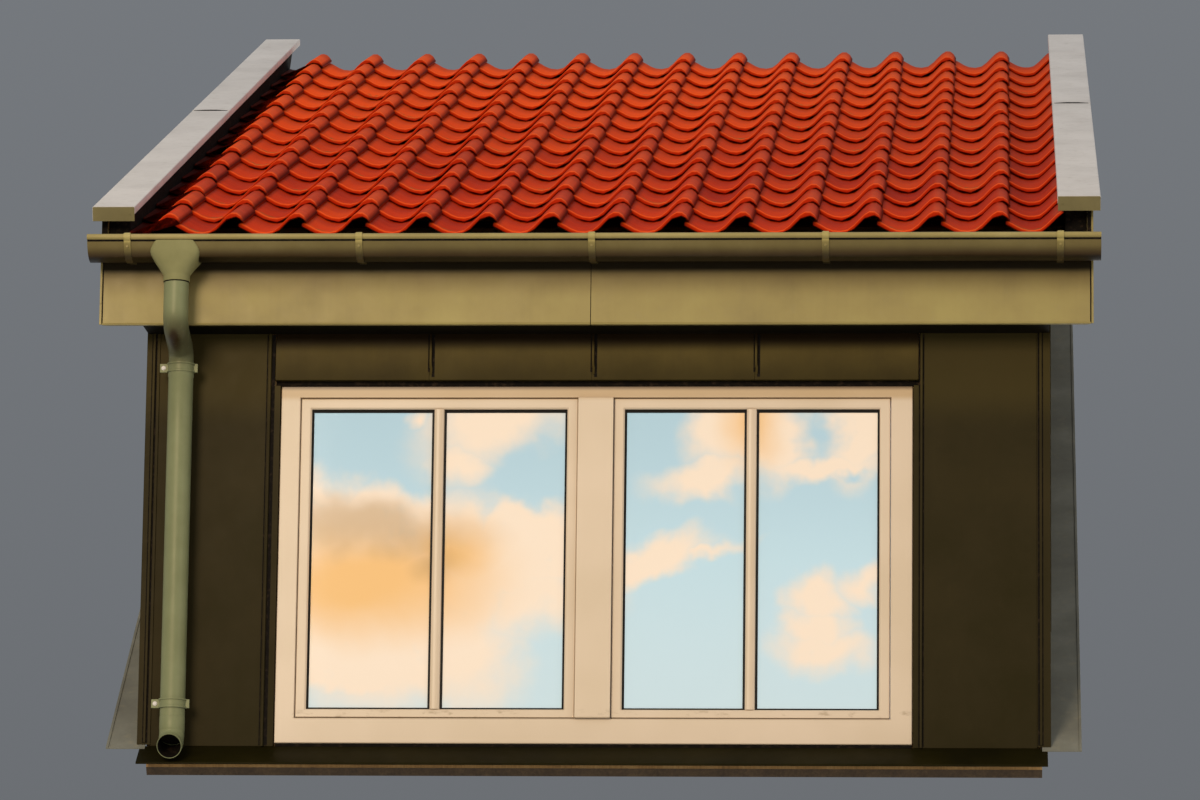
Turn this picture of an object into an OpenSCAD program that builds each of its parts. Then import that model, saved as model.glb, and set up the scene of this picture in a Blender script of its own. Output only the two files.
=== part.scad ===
// Shed dormer window: a timber carcass clad in dark sheet metal, standing on a sloping roof.
// Frame: +Y runs into the main roof, +Z is up, X is across the front.
// The origin is on the roof seat, in the underside of the front sole plate, on the centre line.

/* [Roof planes] */
// Slope of the main roof that the dormer stands on, in degrees
main_pitch = 39; // [37:0.5:42]
// Slope of the dormer's own roof, in degrees
roof_pitch = 21; // [18:0.5:23]
// Distance of the tile plane of the main roof above the seat, square to the slope
tile_plane = 97; // [92:1:104]
// Height of the dormer's eaves line above the fascia's lower edge
eave_rise = 328; // [300:1:345]
// Distance of the eaves line in front of the origin
eave_out = 270; // [262:1:285]

/* [Walls] */
// Width of the wall beside the window, to the corner
side_w = 436.5; // [400:0.5:470]
// Distance of the cladding face in front of the origin
face_out = 70; // [66:1:74]
// Thickness of boarding and sheet together
clad_t = 25; // [20:1:28]
// Thickness of the timber walls
wall_t = 110; // [90:1:140]
// Thickness of the sole frame
sole_t = 30; // [24:1:36]

/* [Roof build-up] */
// Depth of a tile's trough below its side lap
trough_h = 38; // [30:1:42]
// Height of a tile's roll above its side lap
roll_h = 22; // [16:1:26]
// Thickness of a tile
tile_t = 15; // [10:1:18]
// Covering width of a tile
tile_w = 205; // [195:1:215]
// Covering length of a tile
tile_gauge = 327; // [310:1:330]
// Length by which a course runs under the next one
tile_lap = 60; // [45:1:80]
// Height of a tile batten
batten_h = 24; // [20:1:30]
// Width of a tile batten
batten_w = 40; // [35:1:44]
// Thickness of the roof boarding
deck_t = 18; // [15:1:24]
// Depth of a rafter
rafter_h = 140; // [120:1:160]
// Width of a rafter
rafter_w = 45; // [38:1:60]
// Number of rafters
rafters = 6; // [5:1:7]

/* [Eaves and verges] */
// Distance of a verge board's outer face from the cladding
verge_out = 140; // [125:1:150]
// Thickness of the fascia and verge boards
board_t = 20; // [16:1:24]
// Distance of the fascia's face in front of the origin
fascia_out = 220; // [212:1:228]
// Height of the fascia's lower edge above the window frame
header_rise = 172; // [160:1:190]
// Height of the fascia
fascia_h = 245; // [230:1:250]
// Place of the fascia's joint across the front
fascia_joint_x = -10; // [-200:1:200]
// Thickness of the soffit boards
soffit_t = 12; // [10:1:15]
// Width of a verge capping
cap_w = 137; // [130:1:150]
// Distance of a capping's outer edge beyond the verge board
cap_out = 23; // [18:1:28]
// Sheet thickness of the cappings
cap_t = 3; // [2:0.5:4]
// Depth of a capping's outer and front folds
cap_fold = 47; // [35:1:50]
// Depth of a capping's inner fold
cap_lip = 26; // [20:1:30]
// Height of the left capping above the side laps
left_cap_h = 49; // [47:1:80]
// Height of the right capping above the side laps
right_cap_h = 75; // [50:1:80]
// Distance of the left capping's cross joint from the eaves
left_cap_joint = 2485; // [2000:1:2800]
// Distance of the right capping's cross joint from the eaves
right_cap_joint = 2400; // [2000:1:2800]
// Length by which the right capping stops short of the main roof
right_cap_short = 263; // [230:1:400]

/* [Rainwater goods] */
// Distance of the gutter's ends beyond the verge boards
gutter_past = 23; // [5:1:60]
// Outer radius of the gutter
gutter_r = 76.5; // [70:0.5:78]
// Height of the gutter's centre above the fascia's lower edge
gutter_rise = 257; // [245:1:262]
// Sheet thickness of the gutter and pipes
sheet_t = 2; // [1:0.5:3]
// Radius of the gutter's front bead
bead_r = 9; // [7:0.5:10]
// Distance by which the bead stands out from the gutter's face
bead_out = 5; // [2:0.5:8]
// Number of gutter brackets
brackets = 5; // [3:1:5]
// Distance of the outer brackets from the gutter's ends
bracket_end = 129; // [80:1:160]
// Width of a bracket strap
bracket_w = 25; // [20:1:35]
// Outer radius of the downpipe
pipe_r = 40; // [34:0.5:40]
// Distance of the downpipe's axis from the gutter's end
pipe_in = 281; // [270:1:310]
// Distance of the downpipe's axis in front of the cladding
pipe_off = 70; // [66:1:76]
// Distance of the upper pipe clip below the fascia
upper_clip_drop = 137; // [134:1:200]
// Height of the lower pipe clip above the origin
lower_clip_z = 192; // [180:1:400]

/* [Window] */
// Width over the window frame
win_w = 2035; // [1900:1:2050]
// Height over the window frame
win_h = 1160; // [1100:1:1165]
// Height of the window frame's lower edge above the origin
win_z = 78; // [76:1:86]
// Depth of the window frame
win_d = 70; // [68:1:80]
// Distance of the frame's face behind the cladding face
win_recess = 6; // [3:1:12]
// Visible width of the frame's sides
frame_side = 71; // [60:1:80]
// Visible width of the frame's head
frame_head = 45; // [40:1:60]
// Visible width of the frame's foot
frame_foot = 82; // [70:1:95]
// Width of the centre post
post_w = 112; // [100:1:130]
// Width of a sash's stiles and head
sash_side = 34; // [30:1:50]
// Width of a sash's foot
sash_foot = 27; // [24:1:45]
// Depth of a sash
sash_d = 58; // [52:1:60]
// Thickness of the insulating glass
glass_t = 24; // [20:1:28]

/* [Cladding] */
// Covering width of a header panel
panel_w = 525; // [480:1:560]
// Place of the middle header seam
header_seam_x = -15; // [-100:1:100]
// Distance of the seam in a wall panel from the window frame
wall_seam_in = 22.5; // [18:0.5:100]
// Height of a standing seam
seam_h = 9; // [6:1:14]
// Width of a standing seam
seam_w = 8; // [6:1:14]
// Height of the header panels' lower edge above the window
header_gap = 20; // [12:1:30]
// Width of a corner trim
trim_w = 40; // [35:1:50]
// Height of the wall panels' hem above the origin
hem_z = 66; // [62:1:68]
// Distance by which the sill flashing stands out from the cladding
apron_out = 80; // [60:1:84]
// Height of the sill flashing's lower edge above the origin
apron_z = 6; // [4:1:14]
// Width of the side flashings on the tiles
soaker_w = 100; // [80:1:110]

/* [Hidden] */

$fn = 72;
// Clearance between pieces that seat on each other
seat = 0.3;
// Overrun of a cut past the face that it opens
cut = 1;

// Colours
timber = "#B98F5E";
dark_sheet = "#352B1C";
felt_black = "#241E18";
olive_sheet = "#8F8352";
cap_sheet = "#BDB8B0";
tile_red = "#C23A10";
pipe_olive = "#8B8760";
white_plastic = "#E8DCC8";
grey_sheet = "#6E6B5E";
pane_blue = "#A9C6D6";

// Heights square to the dormer's roof, measured from the plane of the tiles' side laps
tile_step = tile_t + seat;
tile_tilt = atan(tile_step / tile_gauge);
batten_top = -trough_h - tile_t - tile_step * (tile_gauge + tile_lap) / tile_gauge - seat;
deck_top = batten_top - batten_h;
rafter_top = deck_top - deck_t;
rafter_low = rafter_top - rafter_h;

// Planes across the front
fascia_z = win_z + win_h + header_rise;
eave_z = fascia_z + eave_rise;
gutter_z = fascia_z + gutter_rise;
upper_clip_z = fascia_z - upper_clip_drop;
eave_y = -eave_out;
fascia_y = -fascia_out;
board_y = fascia_y + board_t;
face_y = -face_out;
frame_y = face_y + clad_t;
inner_y = frame_y + wall_t;
half_body = win_w / 2 + side_w;
half_frame = half_body - clad_t;
half_room = half_frame - wall_t;
half_verge = half_body + verge_out;
half_deck = half_verge - board_t;
cap_in = half_verge + cap_out - cap_w;
soffit_low = (fascia_z - roof_z(fascia_y, 0)) * cos(roof_pitch);

// Height of a plane of the dormer's roof at a place y, h square to the slope above the side laps
function roof_z(y, h) = eave_z + (y - eave_y) * tan(roof_pitch) + h / cos(roof_pitch);

// Place y of a point on the dormer's roof, s along the slope and h square to it
function roof_y(s, h) = eave_y + s * cos(roof_pitch) - h * sin(roof_pitch);

// Height of a plane of the main roof at a place y, h square to the slope above the seat
function seat_z(y, h) = y * tan(main_pitch) + h / cos(main_pitch);

// Distance up the main roof of a place y on the plane h above the seat
function seat_s(y, h) = (y + h * sin(main_pitch)) / cos(main_pitch);

// Place y where a plane of the dormer's roof meets a plane of the main roof
function meet_y(roof_h, seat_h) =
    (roof_z(0, roof_h) - seat_z(0, seat_h)) / (tan(main_pitch) - tan(roof_pitch));

// Point where a plane of the dormer's roof meets a plane of the main roof
function meet(roof_h, seat_h) =
    [meet_y(roof_h, seat_h), seat_z(meet_y(roof_h, seat_h), seat_h)];

// A prism with its outline in the YZ plane, from x0 across a width
module side_prism(points, x0, width) {
    translate([x0, 0, 0])
        rotate([90, 0, 90])
            linear_extrude(width)
                polygon(points);
}

// Children move into the dormer's roof plane: x across, y along the slope, z square to it
module on_roof() {
    translate([0, eave_y, eave_z])
        rotate([roof_pitch, 0, 0])
            children();
}

// Children move into the seat plane of the main roof
module on_seat() {
    rotate([main_pitch, 0, 0])
        children();
}

// Distance up the dormer's roof at which its plane h meets the tile plane of the main roof
function reach(h) = (meet_y(h, tile_plane) - roof_y(0, h)) / cos(roof_pitch);
courses = floor(reach(0) / tile_gauge);

// Carcass: a sloping ring with the walls on it, flush with their outer and inner faces
sole_front = seat_s(frame_y, sole_t);
sole_inner = seat_s(inner_y, sole_t);
sole_back = seat_s(meet_y(deck_top, sole_t), sole_t);
head_front = seat_s(meet_y(rafter_low, sole_t), sole_t) - 60;

module sole_frame() {
    color(timber)
        on_seat()
            difference() {
                translate([-half_frame, sole_front, 0])
                    cube([2 * half_frame, sole_back - sole_front, sole_t]);
                translate([-half_room, sole_inner, -cut])
                    cube([2 * half_room, head_front - sole_inner, sole_t + 2 * cut]);
            }
}

module front_wall() {
    color(timber)
        difference() {
            side_prism([
                [frame_y, seat_z(frame_y, sole_t)],
                [inner_y, seat_z(inner_y, sole_t)],
                [inner_y, roof_z(inner_y, rafter_low)],
                [frame_y, roof_z(frame_y, rafter_low)]
            ], -half_frame, 2 * half_frame);
            translate([-win_w / 2 - seat, frame_y - cut, win_z - seat])
                cube([win_w + 2 * seat, wall_t + 2 * cut, win_h + 2 * seat]);
        }
}

module cheek_wall() {
    side_prism([
        [inner_y, seat_z(inner_y, sole_t)],
        meet(rafter_low, sole_t),
        [inner_y, roof_z(inner_y, rafter_low)]
    ], half_room, wall_t);
}

module left_cheek_wall() {
    color(timber)
        mirror([1, 0, 0]) cheek_wall();
}

module right_cheek_wall() {
    color(timber)
        cheek_wall();
}

module roof_rafters() {
    spacing = (2 * half_frame - rafter_w) / (rafters - 1);
    color(timber)
        for (i = [0 : rafters - 1])
            side_prism([
                [board_y, roof_z(board_y, rafter_low)],
                meet(rafter_low, sole_t),
                meet(rafter_top, sole_t),
                [board_y, roof_z(board_y, rafter_top)]
            ], -half_frame + i * spacing, rafter_w);
}

module roof_deck() {
    color(timber)
        side_prism([
            [board_y, roof_z(board_y, rafter_top)],
            meet(rafter_top, sole_t),
            meet(deck_top, sole_t),
            [board_y, roof_z(board_y, deck_top)]
        ], -half_deck, 2 * half_deck);
}

// Roof covering
kerb_w = 70;
kerb_in = half_deck - kerb_w;
tile_half = kerb_in - 4;
eave_batten_s = 46;
eave_batten_w = 44;
eave_batten_top = -trough_h - tile_t - seat
    - tile_step * (eave_batten_s + eave_batten_w) / tile_gauge;

module tile_battens() {
    color(timber)
        on_roof() {
            translate([-kerb_in, eave_batten_s, deck_top])
                cube([2 * kerb_in, eave_batten_w, eave_batten_top - deck_top]);
            for (k = [1 : courses - 1])
                translate([-kerb_in, k * tile_gauge + tile_lap - batten_w, deck_top])
                    cube([2 * kerb_in, batten_w, batten_h]);
        }
}

// A pantile's S-shaped section from one side lap to the next: shares of the covering width, and heights
wave_points = [
    [0, 0],
    [0.09, -0.72 * trough_h],
    [0.33, -trough_h],
    [0.55, -0.72 * trough_h],
    [0.69, 0],
    [0.81, roll_h],
    [0.91, 0.95 * roll_h],
    [1, 0]
];
first_lap = 0.78 * tile_w - tile_half;

function wave(u) = lookup(u, wave_points);
function wave_at(x) = wave((x - first_lap) / tile_w - floor((x - first_lap) / tile_w));

// Places across the roof where the section has a corner
wave_x = concat([-tile_half],
    [for (i = [-2 : 18], j = [0 : len(wave_points) - 2])
        let (x = first_lap + (i + wave_points[j][0]) * tile_w)
        if (abs(x) < tile_half - 2) x],
    [tile_half]);

// One course, its tail on the side-lap plane and its head one step lower, under the next tail
module tile_course(length) {
    count = len(wave_x);
    rotate([-tile_tilt, 0, 0])
        translate([0, length, 0])
            rotate([90, 0, 0])
                linear_extrude(length)
                    polygon(concat(
                        [for (x = wave_x) [x, wave_at(x)]],
                        [for (i = [count - 1 : -1 : 0]) [wave_x[i], wave_at(wave_x[i]) - tile_t]]
                    ));
}

module roof_tiles() {
    color(tile_red)
        on_roof()
            for (k = [0 : courses - 1])
                translate([0, k * tile_gauge, 0])
                    tile_course(k < courses - 1 ? tile_gauge + tile_lap : tile_gauge);
}

// Verges: a kerb on the deck and a verge board beside it carry the sheet capping
left_cap_end = reach(left_cap_h);
right_cap_end = reach(right_cap_h) - right_cap_short;
cap_seat = cap_t + seat;

module kerb(cap_h, cap_end) {
    top = cap_h - cap_seat;
    low_end = min(roof_y(cap_end, deck_top), meet_y(deck_top, sole_t));
    top_end = roof_y(cap_end, top);
    side_prism([
        [board_y, roof_z(board_y, deck_top)],
        [low_end, roof_z(low_end, deck_top)],
        [top_end, roof_z(top_end, top)],
        [board_y, roof_z(board_y, top)]
    ], kerb_in, kerb_w);
}

module left_kerb() {
    color(felt_black)
        mirror([1, 0, 0]) kerb(left_cap_h, left_cap_end);
}

module right_kerb() {
    color(felt_black)
        kerb(right_cap_h, right_cap_end);
}

module verge_board(cap_h, cap_end) {
    top = cap_h - cap_seat;
    end_y = min(roof_y(cap_end, top), meet_y(top, tile_plane) - 5);
    side_prism([
        [fascia_y, fascia_z],
        meet(soffit_low, tile_plane),
        [end_y, seat_z(end_y, tile_plane)],
        [end_y, roof_z(end_y, top)],
        [fascia_y, roof_z(fascia_y, top)]
    ], half_deck, board_t);
}

module left_verge_board() {
    color(olive_sheet)
        mirror([1, 0, 0]) verge_board(left_cap_h, left_cap_end);
}

module right_verge_board() {
    color(olive_sheet)
        verge_board(right_cap_h, right_cap_end);
}

module side_soffit() {
    side_prism([
        [board_y, roof_z(board_y, soffit_low)],
        meet(soffit_low, tile_plane),
        meet(soffit_low + soffit_t, tile_plane),
        [board_y, roof_z(board_y, soffit_low + soffit_t)]
    ], half_body, half_deck - half_body);
}

module left_side_soffit() {
    color(dark_sheet)
        mirror([1, 0, 0]) side_soffit();
}

module right_side_soffit() {
    color(dark_sheet)
        side_soffit();
}

// A folded capping from s0 to s1 along the slope, its front closed where it starts at the eaves
module cap(cap_h, s0, s1, front_plate) {
    on_roof()
        translate([cap_in, s0, cap_h]) {
            translate([0, 0, -cap_t])
                cube([cap_w, s1 - s0, cap_t]);
            translate([0, 0, -cap_lip])
                cube([cap_t, s1 - s0, cap_lip]);
            translate([cap_w - cap_t, 0, -cap_fold])
                cube([cap_t, s1 - s0, cap_fold]);
            if (front_plate)
                translate([0, 0, -cap_fold])
                    cube([cap_w, cap_t, cap_fold]);
        }
}

module left_cap_lower() {
    color(cap_sheet)
        mirror([1, 0, 0]) cap(left_cap_h, 0, left_cap_joint, true);
}

module left_cap_upper() {
    color(cap_sheet)
        mirror([1, 0, 0]) cap(left_cap_h, left_cap_joint + seat, left_cap_end, false);
}

module right_cap_lower() {
    color(cap_sheet)
        cap(right_cap_h, 0, right_cap_joint, true);
}

module right_cap_upper() {
    color(cap_sheet)
        cap(right_cap_h, right_cap_joint + seat, right_cap_end, false);
}

// Eaves
module fascia(x0, x1) {
    translate([x0, fascia_y, fascia_z])
        cube([x1 - x0, board_t, fascia_h]);
}

module left_fascia() {
    color(olive_sheet)
        fascia(-half_deck, fascia_joint_x);
}

module right_fascia() {
    color(olive_sheet)
        fascia(fascia_joint_x + seat, half_deck);
}

trim_lip = 3;
trim_in = half_body - trim_w;
module front_soffit() {
    color(dark_sheet)
        difference() {
            translate([-half_body, board_y, fascia_z])
                cube([2 * half_body, face_y - board_y, soffit_t]);
            for (x = [-half_body - cut, trim_in - seat])
                translate([x, face_y - trim_lip - seat, fascia_z - cut])
                    cube([trim_w + seat + cut, clad_t, soffit_t + 2 * cut]);
        }
}

// Rainwater goods
back_gap = 5;
back_rise = 12;
gutter_y = fascia_y - gutter_r - back_gap;
gutter_len = 2 * (half_verge + gutter_past);
pipe_x = gutter_len / 2 - pipe_in;
bracket_gap = (gutter_len - 2 * bracket_end) / (brackets - 1);
bead_y = bead_r - gutter_r - bead_out;

module half_disc(r) {
    intersection() {
        circle(r);
        translate([-r, -r])
            square([2 * r, r]);
    }
}

module gutter_section() {
    difference() {
        half_disc(gutter_r);
        circle(gutter_r - sheet_t);
    }
    translate([gutter_r - sheet_t, -sheet_t])
        square([sheet_t, back_rise + sheet_t]);
    translate([bead_y, 0])
        circle(bead_r);
}

module gutter() {
    color(olive_sheet)
        difference() {
            translate([-gutter_len / 2, gutter_y, gutter_z])
                rotate([90, 0, 90]) {
                    linear_extrude(gutter_len)
                        gutter_section();
                    for (end = [sheet_t, gutter_len - 2 * sheet_t])
                        translate([0, 0, end])
                            linear_extrude(sheet_t)
                                half_disc(gutter_r - sheet_t / 2);
                }
            translate([-pipe_x, gutter_y, gutter_z - gutter_r - cut])
                cylinder(r = pipe_r - sheet_t, h = gutter_r);
        }
}

// A strap round the gutter, hooked over its bead, with a tail on the fascia
module bracket_section() {
    strap = gutter_r + seat;
    strap_t = 3;
    difference() {
        union() {
            half_disc(strap + strap_t);
            translate([bead_y, 0])
                circle(bead_r + seat + strap_t);
        }
        half_disc(strap);
        translate([bead_y, 0])
            circle(bead_r + seat);
    }
    translate([strap, -gutter_r / 2])
        square([fascia_y - gutter_y - strap, gutter_r / 2 + back_rise]);
}

module gutter_brackets() {
    color(olive_sheet)
        for (i = [0 : brackets - 1])
            translate([(i - (brackets - 1) / 2) * bracket_gap - bracket_w / 2, gutter_y, gutter_z])
                rotate([90, 0, 90])
                    linear_extrude(bracket_w)
                        bracket_section();
}

// The outlet under the gutter turns from a rectangle that hugs it into the round of the pipe
outlet_low = gutter_z - 134;
outlet_wide = gutter_z - 46;
outlet_top = gutter_z - 13;
outlet_half_x = gutter_r + 1;
outlet_half_y = gutter_r - 5.5;
socket_h = 20;

module outlet_plate(x, y, z) {
    corner = 22;
    translate([0, 0, z])
        linear_extrude(0.1)
            hull()
                for (i = [-1, 1], j = [-1, 1])
                    translate([i * (x - corner), j * (y - corner)])
                        circle(corner, $fn = 24);
}

module outlet_body(low_z, low_r, grow) {
    hull() {
        translate([0, 0, low_z])
            cylinder(r = low_r, h = 0.1, $fn = 32);
        outlet_plate(outlet_half_x + grow, outlet_half_y + grow, outlet_wide);
        outlet_plate(outlet_half_x - 11.5 + grow, outlet_half_y + 8 + grow, outlet_top);
    }
}

module gutter_outlet() {
    color(pipe_olive)
        difference() {
            translate([-pipe_x, gutter_y, 0])
                outlet_body(outlet_low, pipe_r + 4.5, 0);
            translate([-pipe_x, gutter_y, 0])
                outlet_body(outlet_low + socket_h, pipe_r - sheet_t, -3);
            translate([-pipe_x, gutter_y, outlet_low - cut])
                cylinder(r = pipe_r + seat, h = socket_h + cut);
            translate([-pipe_x - outlet_half_x - cut, gutter_y, gutter_z])
                rotate([0, 90, 0])
                    cylinder(r = gutter_r + seat, h = 2 * (outlet_half_x + cut));
        }
}

// The offset bend: down, back under the fascia, and down again along the wall
bend_r = 55;
bend_a = 72;
pipe_y = face_y - pipe_off;
bend_back = pipe_y - gutter_y;
bend_run = (bend_back - 2 * bend_r * (1 - cos(bend_a))) / sin(bend_a);
bend_top = fascia_z + 21;
bend_low = bend_top - 2 * bend_r * sin(bend_a) - bend_run * cos(bend_a);
shoe_top = 107;

module pipe_ring() {
    difference() {
        circle(pipe_r);
        circle(pipe_r - sheet_t);
    }
}

module pipe_run(length) {
    linear_extrude(length)
        pipe_ring();
}

// Part of a ring of pipe in the YZ plane, about the origin, from one angle through a turn
module elbow(from, turn) {
    rotate([90, 0, 90])
        rotate([0, 0, from])
            rotate_extrude(angle = turn)
                translate([bend_r, 0])
                    pipe_ring();
}

// Bends and straight lengths follow each other as separate pieces of pipe
module swan_neck() {
    color(pipe_olive)
        translate([-pipe_x, gutter_y, bend_top]) {
            translate([0, 0, seat])
                pipe_run(outlet_low + socket_h - 2 * seat - bend_top);
            translate([0, bend_r, 0])
                elbow(180, bend_a);
            translate([0, bend_r * (1 - cos(bend_a)), -bend_r * sin(bend_a)])
                rotate([180 + bend_a, 0, 0])
                    translate([0, 0, seat])
                        pipe_run(bend_run - 2 * seat);
            translate([0, bend_back - bend_r, bend_low - bend_top])
                elbow(0, bend_a);
        }
}

// The straight run stands in equal lengths, end to end
pipe_lengths = 4;
module downpipe() {
    length = (bend_low - shoe_top - seat) / pipe_lengths;
    color(pipe_olive)
        for (i = [0 : pipe_lengths - 1])
            translate([-pipe_x, pipe_y, shoe_top + seat + i * length])
                pipe_run(length - seat);
}

module pipe_shoe() {
    mouth = 20;
    color(pipe_olive)
        translate([-pipe_x, pipe_y, shoe_top]) {
            translate([0, -bend_r, 0])
                elbow(-bend_a, bend_a);
            translate([0, -bend_r * (1 - cos(bend_a)), -bend_r * sin(bend_a)])
                rotate([180 - bend_a, 0, 0])
                    translate([0, 0, seat])
                        pipe_run(mouth);
        }
}

clip_h = 32;
clip_t = 3;
module pipe_clip() {
    ring = pipe_r + seat;
    difference() {
        union() {
            cylinder(r = ring + clip_t, h = clip_h, center = true);
            for (z = [-clip_h / 2, clip_h / 2 - 6])
                translate([0, 0, z])
                    cylinder(r = ring + clip_t + 1.5, h = 6);
            translate([-ring - 22, -4, -clip_h / 2])
                cube([2 * ring + 44, 8, clip_h]);
            translate([-7, 0, -7])
                cube([14, pipe_off - 3, 14]);
            translate([-26, pipe_off - 4, -20])
                cube([52, 4, 40]);
        }
        cylinder(r = ring, h = clip_h + 2 * cut, center = true);
    }
}

module pipe_clips() {
    color(pipe_olive)
        for (z = [lower_clip_z, upper_clip_z])
            translate([-pipe_x, pipe_y, z])
                pipe_clip();
}

// Cladding
panel_in = win_w / 2 + 3;
panel_top = fascia_z + soffit_t;
header_z = win_z + win_h + header_gap;
wall_seam_x = win_w / 2 + wall_seam_in;

module wall_panel() {
    translate([panel_in, face_y, hem_z])
        cube([trim_in - seat - panel_in, clad_t, panel_top - hem_z]);
    translate([wall_seam_x - seam_w / 2, face_y - seam_h, hem_z])
        cube([seam_w, seam_h + cut, fascia_z - seat - hem_z]);
}

module left_wall_panel() {
    color(dark_sheet)
        mirror([1, 0, 0]) wall_panel();
}

module right_wall_panel() {
    color(dark_sheet)
        wall_panel();
}

header_x = [
    -panel_in + seat,
    header_seam_x - panel_w,
    header_seam_x,
    header_seam_x + panel_w,
    panel_in - seat
];
seam_foot = 40;
module header_panels() {
    color(dark_sheet)
        for (i = [0 : 3]) {
            translate([header_x[i], face_y, header_z])
                cube([header_x[i + 1] - header_x[i] - seat, clad_t, panel_top - header_z]);
            if (i > 0)
                translate([header_x[i], face_y - seam_h, header_z + seam_foot])
                    cube([seam_w, seam_h + cut, fascia_z - seat - header_z - seam_foot]);
        }
}

// The corner trims are cut at the foot to the slope of the main roof
flash_t = 3;
flash_top = tile_plane + flash_t + seat;
trim_back = 15;
module corner_trim() {
    rear = frame_y + trim_back;
    front = face_y - trim_lip;
    intersection() {
        linear_extrude(2 * eave_z)
            polygon([
                [trim_in, front],
                [half_body + trim_lip, front],
                [half_body + trim_lip, rear],
                [half_frame, rear],
                [half_frame, frame_y],
                [trim_in, frame_y]
            ]);
        side_prism([
            [front, seat_z(front, flash_top)],
            [rear, seat_z(rear, flash_top)],
            [rear, roof_z(rear, soffit_low) - seat],
            [front, roof_z(front, soffit_low) - seat]
        ], trim_in - cut, 2 * trim_w);
    }
}

module left_corner_trim() {
    color(dark_sheet)
        mirror([1, 0, 0]) corner_trim();
}

module right_corner_trim() {
    color(dark_sheet)
        corner_trim();
}

module sill_flashing() {
    top = hem_z - seat;
    tip_y = face_y - apron_out;
    color(dark_sheet)
        side_prism([
            [frame_y, top],
            [face_y, top],
            [tip_y, apron_z + 4],
            [tip_y, apron_z],
            [face_y + 1, top - 4],
            [frame_y - flash_t, top - 4],
            [frame_y - flash_t, 12],
            [frame_y, 12]
        ], -half_body + 7, 2 * half_body - 14);
}

// Cheek cladding runs up to the roof deck, its seams stop under the side soffit
cheek_front = frame_y + trim_back + seat;
cheek_seams = 5;
module cheek_cladding() {
    side_prism([
        [cheek_front, seat_z(cheek_front, flash_top)],
        meet(rafter_top, flash_top),
        [cheek_front, roof_z(cheek_front, rafter_top)]
    ], half_frame, clad_t);
    for (i = [1 : cheek_seams])
        side_prism([
            [cheek_front + i * panel_w, seat_z(cheek_front + i * panel_w, flash_top)],
            [cheek_front + i * panel_w + seam_w, seat_z(cheek_front + i * panel_w + seam_w, flash_top)],
            [cheek_front + i * panel_w + seam_w, roof_z(cheek_front + i * panel_w, soffit_low) - seat],
            [cheek_front + i * panel_w, roof_z(cheek_front + i * panel_w, soffit_low) - seat]
        ], half_body - cut, seam_h + cut);
}

module left_cheek_cladding() {
    color(dark_sheet)
        mirror([1, 0, 0]) cheek_cladding();
}

module right_cheek_cladding() {
    color(dark_sheet)
        cheek_cladding();
}

// A strip on the tile plane beside each cheek, with a welt along its outer edge
soaker_y = face_y - 18;
module side_flashing() {
    s0 = seat_s(soaker_y, tile_plane);
    s1 = seat_s(meet_y(soffit_low, tile_plane), tile_plane);
    on_seat() {
        translate([half_frame, s0, tile_plane])
            cube([clad_t + soaker_w, s1 - s0, flash_t]);
        translate([half_body + soaker_w - 8, s0, tile_plane])
            cube([8, s1 - s0, 2 * flash_t]);
    }
}

module left_side_flashing() {
    color(grey_sheet)
        mirror([1, 0, 0]) side_flashing();
}

module right_side_flashing() {
    color(grey_sheet)
        side_flashing();
}

// Window: a frame with a centre post, two sashes seated against stops, and sealed panes
win_y = face_y + win_recess;
sash_set = 6;
sash_gap = 2.5;
stop_reach = 12;
sash_y = win_y + sash_set;
light_x = post_w / 2;
light_w = win_w / 2 - frame_side - light_x;
light_z = win_z + frame_foot;
light_h = win_h - frame_foot - frame_head;

module window_frame() {
    color(white_plastic)
        difference() {
            translate([-win_w / 2, win_y, win_z])
                cube([win_w, win_d, win_h]);
            for (x = [-light_x - light_w, light_x]) {
                translate([x, win_y - cut, light_z])
                    cube([light_w, sash_set + sash_d + cut, light_h]);
                translate([x + stop_reach, win_y, light_z + stop_reach])
                    cube([light_w - 2 * stop_reach, win_d + cut, light_h - 2 * stop_reach]);
            }
        }
}

module mullion_cover() {
    cover_t = 12;
    color(white_plastic)
        translate([-light_x - 1, win_y - cover_t, light_z])
            cube([post_w + 2, cover_t, light_h]);
}

pane_y = sash_y + 14;
pane_bite = 12;
sash_x = light_x + sash_gap;
sash_w = light_w - 2 * sash_gap;
sash_z = light_z + sash_gap;
sash_h = light_h - 2 * sash_gap;

// A box over the visible pane, grown all round
module pane_box(grow, y, depth) {
    translate([sash_x + sash_side - grow, y, sash_z + sash_foot - grow])
        cube([
            sash_w - 2 * sash_side + 2 * grow,
            depth,
            sash_h - sash_foot - sash_side + 2 * grow
        ]);
}

module sash() {
    difference() {
        translate([sash_x, sash_y, sash_z])
            cube([sash_w, sash_d, sash_h]);
        pane_box(0, sash_y - cut, sash_d + 2 * cut);
        pane_box(pane_bite + seat, pane_y - seat, glass_t + 2 * seat);
    }
}

module left_sash() {
    color(white_plastic)
        mirror([1, 0, 0]) sash();
}

module right_sash() {
    color(white_plastic)
        sash();
}

module left_glass() {
    color(pane_blue)
        mirror([1, 0, 0]) pane_box(pane_bite, pane_y, glass_t);
}

module right_glass() {
    color(pane_blue)
        pane_box(pane_bite, pane_y, glass_t);
}

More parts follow.
